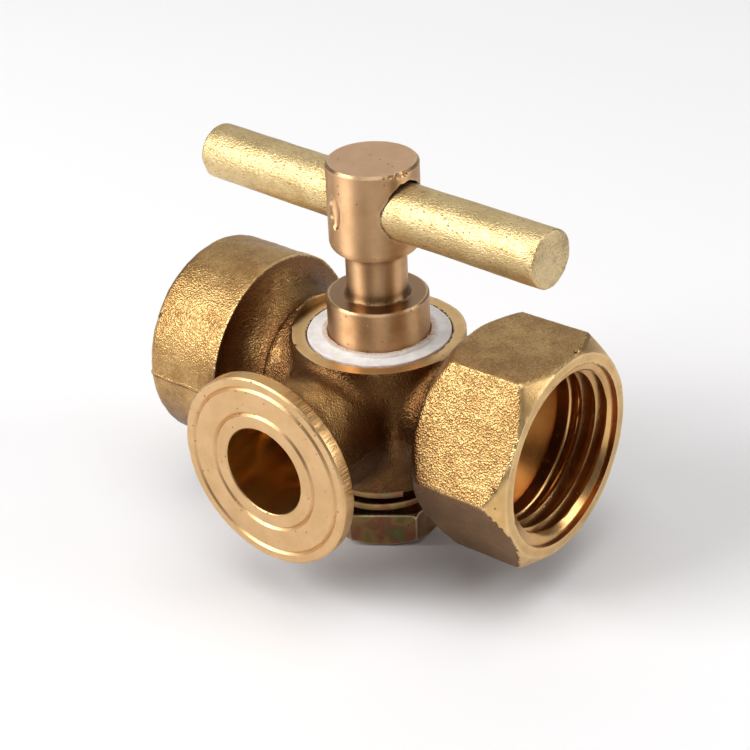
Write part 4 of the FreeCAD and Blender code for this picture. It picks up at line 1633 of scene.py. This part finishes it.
@dataclass
class TurnedPlug:
    """The bronze plug: head, neck, collar, ported taper and threaded tail."""

    cone_bottom: float = -8.35
    cone_bottom_r: float = 6.8
    cone_top: float = 5.55
    cone_top_r: float = 7.793
    port_r: float = 4.6
    collar_r: float = 5.95
    collar_top: float = 13.15
    neck_r: float = 3.55
    head_r: float = 5.27
    head_bottom: float = 18.9
    head_top: float = 29.6
    head_round: float = 1.3
    bar_z: float = 24.5
    hole_r: float = 3.32
    tail_r: float = 4.0
    tail_bottom: float = -17.3
    flat_half: float = 3.2
    flat_bottom: float = -9.5
    stake_turn: float = -103.8
    stake_size: tuple[float, float, float] = (0.50, 1.00, 1.95)
    cell: float = 0.27
    chips: tuple[tuple[float, float, float], ...] = (
        (-36.0, 29.6, 0.20), (-33.0, 29.5, 0.27), (-29.0, 29.55, 0.22), (-25.0, 29.4, 0.33),
        (-20.5, 29.5, 0.26), (-16.0, 29.3, 0.38), (-10.0, 29.4, 0.30), (-4.0, 29.3, 0.36),
        (2.0, 29.5, 0.26), (-62.0, 29.68, 0.15), (-96.0, 29.65, 0.16))

    def __post_init__(self) -> None:
        """Draw the outline and the unevenness once."""
        head = self.head_r
        self.line = [(self.tail_bottom, 0.0), (self.tail_bottom, self.tail_r - 0.6),
                     (self.tail_bottom + 0.6, self.tail_r), (self.cone_bottom, self.tail_r),
                     (self.cone_bottom, self.cone_bottom_r), (self.cone_top, self.cone_top_r),
                     (self.cone_top, self.collar_r), (self.collar_top - 0.22, self.collar_r),
                     (self.collar_top, self.collar_r - 0.22)]
        self.line += arc((self.collar_top + 0.5, self.neck_r + 0.5), 0.5, 180.0, 270.0, 4)
        self.line += [(self.head_bottom, self.neck_r)]
        self.line += arc((self.head_bottom + self.head_round, head - self.head_round),
                         self.head_round, 180.0, 90.0, 7)
        self.line += [(self.head_top - 0.28, head), (self.head_top, head - 0.28),
                      (self.head_top, 0.0)]
        self.tear = Ripple(21, 0.9, 20)
        self.slow = Ripple(22, 3.5)

    def distance(self, points: Array) -> Array:
        """Return the distance to the plug, drawn square to the ports."""
        x, y, z = points.T
        from_z = np.hypot(x, y)
        solid = outline_distance(z, from_z, self.line)
        solid = carve(solid, np.hypot(y, z) - self.port_r)
        solid = carve(solid, np.maximum(np.hypot(x, z) - self.port_r, y))
        across = np.hypot(y, z - self.bar_z)
        angle = np.arctan2(z - self.bar_z, y)
        right = smooth_step(x, 2.2, 4.2)
        upper = np.exp(-np.square((angle - math.radians(100.0)) / 0.55))
        loose = right * (0.05 + 0.50 * upper + 0.07 * self.tear.at(points) * (x > 2.0))
        solid = carve(solid, across - self.hole_r - 0.02 - np.maximum(loose, 0.0))
        turn = math.radians(self.stake_turn)
        out = x * math.cos(turn) + y * math.sin(turn) - self.head_r
        side = y * math.cos(turn) - x * math.sin(turn)
        deep, wide, tall = self.stake_size
        mark = np.sqrt((out / deep) ** 2 + (side / wide) ** 2 + ((z - self.bar_z) / tall) ** 2)
        solid = carve(solid, (mark - 1.0) * deep)
        for degrees, height, radius in self.chips:
            chip = math.radians(degrees)
            gap = np.sqrt((x - (self.head_r + 0.05) * math.cos(chip)) ** 2
                          + (y - (self.head_r + 0.05) * math.sin(chip)) ** 2 + (z - height) ** 2)
            solid = carve(solid, gap - radius)
        tail = (z < self.cone_bottom) & (z > self.flat_bottom)
        solid = np.where(tail, np.maximum(solid, np.abs(x) - self.flat_half), solid)
        return solid + 0.006 * self.slow.at(points) * (z > self.head_bottom)

    def build(self) -> bpy.types.Object:
        """Return the plug's mesh: faces that look up are in the second finish."""
        work = Sculpture(self.distance, (-8.1, -8.1, -17.7), (8.1, 8.1, 29.9), self.cell,
                         crest_reach=0.3)
        piece = work.build("plug_turned")
        for polygon in piece.data.polygons:
            polygon.material_index = int(polygon.normal.z > 0.85)
        shade(piece, 30.0)
        return turn_with_handle(piece)


@dataclass
class HandleBar:
    """The round bar through the plug's head, sawn off at both ends."""

    radius: float = 3.3
    height: float = 24.5
    left: float = -24.5
    right: float = 24.7
    end_round: float = 0.3
    end_rings: tuple[float, ...] = (0.25, 0.5, 0.75, 0.9)
    knocks: tuple[tuple[float, float, float, float], ...] = (
        (24.6, 150.0, 0.9, 0.18), (24.5, -60.0, 0.7, 0.12), (13.1, -70.0, 0.35, 0.10),
        (-24.4, 200.0, 1.0, 0.15), (-9.0, -100.0, 0.5, 0.06), (19.6, -20.0, 0.22, 0.16))
    steps: int = 144
    slices: int = 150

    def batter(self, vertices: Array) -> Array:
        """Return the bar's vertices with its long unevenness and its knocks."""
        long_wave = Ripple(51, 9.0)
        short_wave = Ripple(52, 1.6, 20)
        x, y, z = vertices.T
        away = np.hypot(y, z)
        skin = smooth_step(away, self.radius * 0.9, self.radius * 0.97)
        drawn = np.stack([x * 0.35, y, z], axis=-1)
        push = 0.03 * long_wave.at(vertices) + 0.022 * short_wave.at(drawn)
        for place, degrees, radius, depth in self.knocks:
            knock = math.radians(degrees)
            gap = (x - place) ** 2 + (y - self.radius * math.cos(knock)) ** 2 \
                + (z - self.radius * math.sin(knock)) ** 2
            push -= depth * np.exp(-gap / radius ** 2)
        scale = 1.0 + skin * push / np.maximum(away, 1e-6)
        ends = smooth_step(np.abs(x), 24.2, 24.5)
        saw = 0.05 * short_wave.at(vertices * 0.8) + 0.04 * long_wave.at(vertices * 2.0)
        return np.stack([x - np.sign(x) * ends * (0.06 + saw * 0.7), y * scale, z * scale], axis=-1)

    def build(self) -> bpy.types.Object:
        """Return the bar's mesh: skin in the first finish, sawn ends in the second."""
        bend = self.end_round
        outline: Outline = [(self.left, 0.0)]
        outline += [(self.left, self.radius * share) for share in self.end_rings]
        outline += arc((self.left + bend, self.radius - bend), bend, 180.0, 90.0, 4)
        length = self.right - self.left - 2.0 * bend
        outline += [(self.left + bend + length * (step / self.slices), self.radius)
                    for step in range(1, self.slices)]
        outline += arc((self.right - bend, self.radius - bend), bend, 90.0, 0.0, 4)
        outline += [(self.right, self.radius * share) for share in reversed(self.end_rings)]
        outline.append((self.right, 0.0))
        piece = Lathe(outline, Axis.X, self.steps, self.batter).build("tee_bar_drawn")
        for polygon in piece.data.polygons:
            polygon.material_index = int(abs(polygon.normal.x) > 0.85)
        piece.data.transform(Matrix.Translation((0.0, 0.0, self.height * MM)))
        return turn_with_handle(piece)


@dataclass
class SpringWasher:
    """The flat-wire spring washer, a little over one and a half turns."""

    outer_r: float = 7.5
    inner_r: float = 4.9
    wire: float = 0.95
    top: float = -9.5
    bottom: float = -13.2
    end_at: float = -36.0
    turns: float = 1.6
    points: int = 220

    def build(self, material: bpy.types.Material) -> bpy.types.Object:
        """Return the washer, swept along its helix by a geometry tree."""
        rule = Rule("spring_coil", {
            "Mean Radius": 0.5 * (self.outer_r + self.inner_r),
            "Width": self.outer_r - self.inner_r,
            "Wire": self.wire, "Top": self.top, "Bottom": self.bottom,
            "First": math.radians(self.end_at), "Turns": self.turns, "Points": self.points})
        tree, given = rule.tree, rule.given
        line = tree.add("GeometryNodeMeshLine", {"mode": "OFFSET"},
                        {"Count": given["Points"], "Offset": (0.001, 0.0, 0.0)})
        share = tree.add("GeometryNodeInputIndex", {}, {}) / (given["Points"] - 1.0)
        angle = given["First"] - share * given["Turns"] * TAU
        drop = given["Top"] - given["Bottom"] - given["Wire"]
        droop = (1.0 - share * 14.0).clamped() * 0.16
        height = given["Top"] - given["Wire"] * 0.5 - drop * share - droop
        spot = tree.vector(given["Mean Radius"] * angle.math("COSINE"),
                           given["Mean Radius"] * angle.math("SINE"), height)
        bent = tree.add("GeometryNodeSetPosition", {}, {"Geometry": line, "Position": spot})
        path = tree.add("GeometryNodeMeshToCurve", {}, {"Mesh": bent})
        level = tree.add("GeometryNodeSetCurveNormal", {"mode": "Z_UP"}, {"Curve": path})
        section = tree.add("GeometryNodeCurvePrimitiveQuadrilateral", {"mode": "RECTANGLE"},
                           {"Width": given["Width"], "Height": given["Wire"] - 0.02})
        soft = tree.add("GeometryNodeFilletCurve", {"mode": "POLY"},
                        {"Curve": section, "Count": 3, "Radius": 0.12, "Limit Radius": True})
        strip = tree.add("GeometryNodeCurveToMesh", {},
                         {"Curve": level, "Profile Curve": soft, "Fill Caps": True})
        rule.finish(strip, material)
        piece = rule.run("spring_washer_coil", {})
        piece.data.transform(Matrix.Translation(PLUG_AXIS) @ Matrix.Scale(MM, 4))
        tidy(piece)
        shade(piece, 35.0)
        return piece


@dataclass
class FlatWasher:
    """The thin washer under the body, keyed to the tail by two flats."""

    radius: float = 8.3
    top: float = -8.95
    thickness: float = 0.45
    hole_r: float = 4.05
    hole_half: float = 3.25

    def key(self, vertices: Array) -> Array:
        """Return the vertices with the hole flattened on two sides."""
        x, y, z = vertices.T
        away = np.hypot(x, y)
        hole = 1.0 - smooth_step(away, self.hole_r + 0.3, self.hole_r + 0.8)
        held = np.clip(x, -self.hole_half, self.hole_half)
        return np.stack([x + (held - x) * hole, y, z], axis=-1)

    def build(self) -> bpy.types.Object:
        """Return the washer's mesh."""
        low = self.top - self.thickness
        corners = [(low, self.hole_r, 0.04), (low, self.hole_r + 1.0, 0.0),
                   (low, self.radius, 0.14), (self.top, self.radius, 0.08),
                   (self.top, self.hole_r + 1.0, 0.0),
                   (self.top, self.hole_r, 0.04)]
        piece = Lathe(eased(corners, 3), Axis.Z, 192, self.key).build("flat_washer_plate")
        return turn_with_handle(piece)


@dataclass
class HexNut:
    """The nut on the plug's tail, bevelled at both ends."""

    across: float = 14.0
    top: float = -13.25
    bottom: float = -17.75
    yaw: float = 34.0
    bevel_r: float = 6.75
    bevel: float = 0.9
    hole_r: float = 4.02
    sink_r: float = 4.5
    cell: float = 0.24

    def distance(self, points: Array) -> Array:
        """Return the distance to the nut."""
        x, y, z = points.T
        turn = math.radians(self.yaw + 30.0)
        prism = np.full(len(points), -1e9)
        for index in range(3):
            side = turn + index * math.pi / 3.0
            prism = np.maximum(prism, np.abs(x * math.cos(side) + y * math.sin(side)))
        prism -= 0.5 * self.across
        corner_r = self.across / math.sqrt(3.0)
        outline = [(self.bottom, 0.0), (self.bottom, self.bevel_r),
                   (self.bottom + self.bevel, corner_r + 0.02), (self.top - 0.35, corner_r + 0.02),
                   (self.top, corner_r - 0.4), (self.top, 0.0)]
        away = np.hypot(x, y)
        solid = overlap(prism, outline_distance(z, away, outline), 0.14)
        hole = [(self.bottom - 1.0, 0.0), (self.bottom - 1.0, self.sink_r + 0.5),
                (self.bottom + self.sink_r - self.hole_r, self.hole_r),
                (self.top + 1.0, self.hole_r), (self.top + 1.0, 0.0)]
        return carve(solid, outline_distance(z, away, hole))

    def build(self) -> bpy.types.Object:
        """Return the nut's mesh."""
        work = Sculpture(self.distance, (-8.4, -8.4, -18.1), (8.4, 8.4, -12.9), self.cell,
                         crest_reach=0.3)
        piece = work.build("hex_nut_plated")
        shade(piece, 25.0)
        return piece


@dataclass
class PlugAssembly:
    """Everything that turns with the handle."""

    plug: TurnedPlug = field(default_factory=TurnedPlug)
    bar: HandleBar = field(default_factory=HandleBar)

    def build(self) -> None:
        """Build and dress the turning pieces."""
        bronze = TurnedMetal("turned_bronze", Axis.Z, light=(0.76, 0.48, 0.26),
                             dark=(0.56, 0.33, 0.16), rings_per_mm=7.0, ring_depth_mm=0.008,
                             grain_depth_mm=0.010, roughness=0.37, pit_share=0.2,
                             anisotropy=0.9).build()
        top = TurnedMetal("faced_bronze", Axis.Z, light=(0.70, 0.44, 0.25),
                          dark=(0.58, 0.35, 0.18), ring_depth_mm=0.006, roughness=0.24).build()
        bar = DrawnBar().build()
        sawn = DrawnBar("sawn_end", light=(0.74, 0.57, 0.32), dark=(0.40, 0.30, 0.15),
                        stain=(0.26, 0.21, 0.13), stain_at_mm=(24.4, -1.1, 24.3)).build()
        zinc = YellowZinc().build()
        dress(self.plug.build(), Body.PLUG, Slot.TURNED_BRONZE, bronze, top, stands_for=("plug",))
        dress(self.bar.build(), Body.PLUG, Slot.BAR_BRASS, bar, sawn, stands_for=("tee_bar",))
        dress(FlatWasher().build(), Body.PLUG, Slot.ZINC_STEEL, zinc, stands_for=("flat_washer",))
        dress(SpringWasher().build(zinc), Body.PLUG, Slot.ZINC_STEEL,
              stands_for=("spring_washer",))
        dress(HexNut().build(), Body.PLUG, Slot.ZINC_STEEL, zinc, stands_for=("hex_nut",))


# ---------------------------------------------------------------- stage, light and camera


@dataclass
class Stage:
    """The pale floor that the valve stands on."""

    half_size_m: float = 1.6

    def build(self) -> None:
        """Build the floor."""
        half = self.half_size_m
        mesh = bpy.data.meshes.new("floor")
        mesh.from_pydata([(-half, -half, STANDS_AT), (half, -half, STANDS_AT),
                          (half, half, STANDS_AT), (-half, half, STANDS_AT)], [], [(0, 1, 2, 3)])
        floor = bpy.data.objects.new("floor", mesh)
        mesh.materials.append(MattePaper().build())
        bpy.context.scene.collection.objects.link(floor)


@dataclass(frozen=True)
class Panel:
    """One square soft light, aimed at the valve."""

    name: str
    azimuth: float
    elevation: float
    distance_m: float
    size_m: float
    watts: float
    colour: tuple[float, float, float] = (1.0, 1.0, 1.0)

    def build(self) -> None:
        """Hang the light."""
        data = bpy.data.lights.new(self.name, "AREA")
        data.shape = "SQUARE"
        data.size = self.size_m
        data.energy = self.watts
        data.color = self.colour
        turn, rise = math.radians(self.azimuth), math.radians(self.elevation)
        away = Vector((math.sin(turn) * math.cos(rise), -math.cos(turn) * math.cos(rise),
                       math.sin(rise)))
        light = bpy.data.objects.new(self.name, data)
        light.location = PLUG_AXIS + away * self.distance_m
        light.rotation_mode = "QUATERNION"
        light.rotation_quaternion = (-away).to_track_quat("-Z", "Y")
        bpy.context.scene.collection.objects.link(light)


@dataclass
class Studio:
    """Soft panels round the valve and an even grey room."""

    room: float = 0.12
    panels: tuple[Panel, ...] = (
        Panel("key_panel", -38.0, 34.0, 0.75, 0.42, 4.9),
        Panel("overhead_panel", 60.0, 80.0, 0.9, 0.8, 4.4),
        Panel("back_panel", 219.0, 32.0, 0.9, 0.8, 1.3),
        Panel("right_panel", 118.0, 24.0, 0.8, 0.40, 1.9))

    def build(self) -> None:
        """Hang the lights and tint the room."""
        for panel in self.panels:
            panel.build()
        world = bpy.data.worlds.new("room")
        world.use_nodes = True
        tree = Tree(world.node_tree)
        room = tree.add("ShaderNodeBackground", {},
                        {"Color": (1.0, 0.99, 0.98, 1.0), "Strength": self.room})
        tree.node("ShaderNodeOutputWorld", {}, {"Surface": room})
        bpy.context.scene.world = world
        bpy.context.scene.view_settings.view_transform = "Standard"


@dataclass
class Viewpoint:
    """The camera: direction, roll, distance and aim, about the plug's axis."""

    azimuth: float = 39.12
    elevation: float = 30.19
    roll: float = -2.641
    distance_mm: float = 208.9
    right_mm: float = 0.836
    up_mm: float = -1.708
    focal_mm: float = 84.48
    sensor_mm: float = 36.0

    def build(self) -> None:
        """Place the camera and make it the scene's."""
        turn, rise, roll = (math.radians(v) for v in (self.azimuth, self.elevation, self.roll))
        back = Vector((math.sin(turn) * math.cos(rise), -math.cos(turn) * math.cos(rise),
                       math.sin(rise)))
        right = Vector((math.cos(turn), math.sin(turn), 0.0))
        up = back.cross(right)
        rolled_right = right * math.cos(roll) + up * math.sin(roll)
        rolled_up = up * math.cos(roll) - right * math.sin(roll)
        data = bpy.data.cameras.new("camera")
        data.lens = self.focal_mm
        data.sensor_width = self.sensor_mm
        data.clip_start, data.clip_end = 0.01, 10.0
        camera = bpy.data.objects.new("camera", data)
        place = PLUG_AXIS + (back * self.distance_mm - rolled_right * self.right_mm
                             - rolled_up * self.up_mm) * MM
        frame_of_view = Matrix((rolled_right, rolled_up, back)).transposed().to_4x4()
        camera.matrix_world = Matrix.Translation(place) @ frame_of_view
        bpy.context.scene.collection.objects.link(camera)
        bpy.context.scene.camera = camera


def main() -> None:
    """Build the whole valve, its stage, light and camera."""
    logging.basicConfig(level=logging.INFO, format="%(name)s: %(message)s")
    Viewpoint().build()
    Stage().build()
    Studio().build()
    Housing().build()
    PlugAssembly().build()


if __name__ == "__main__":
    main()
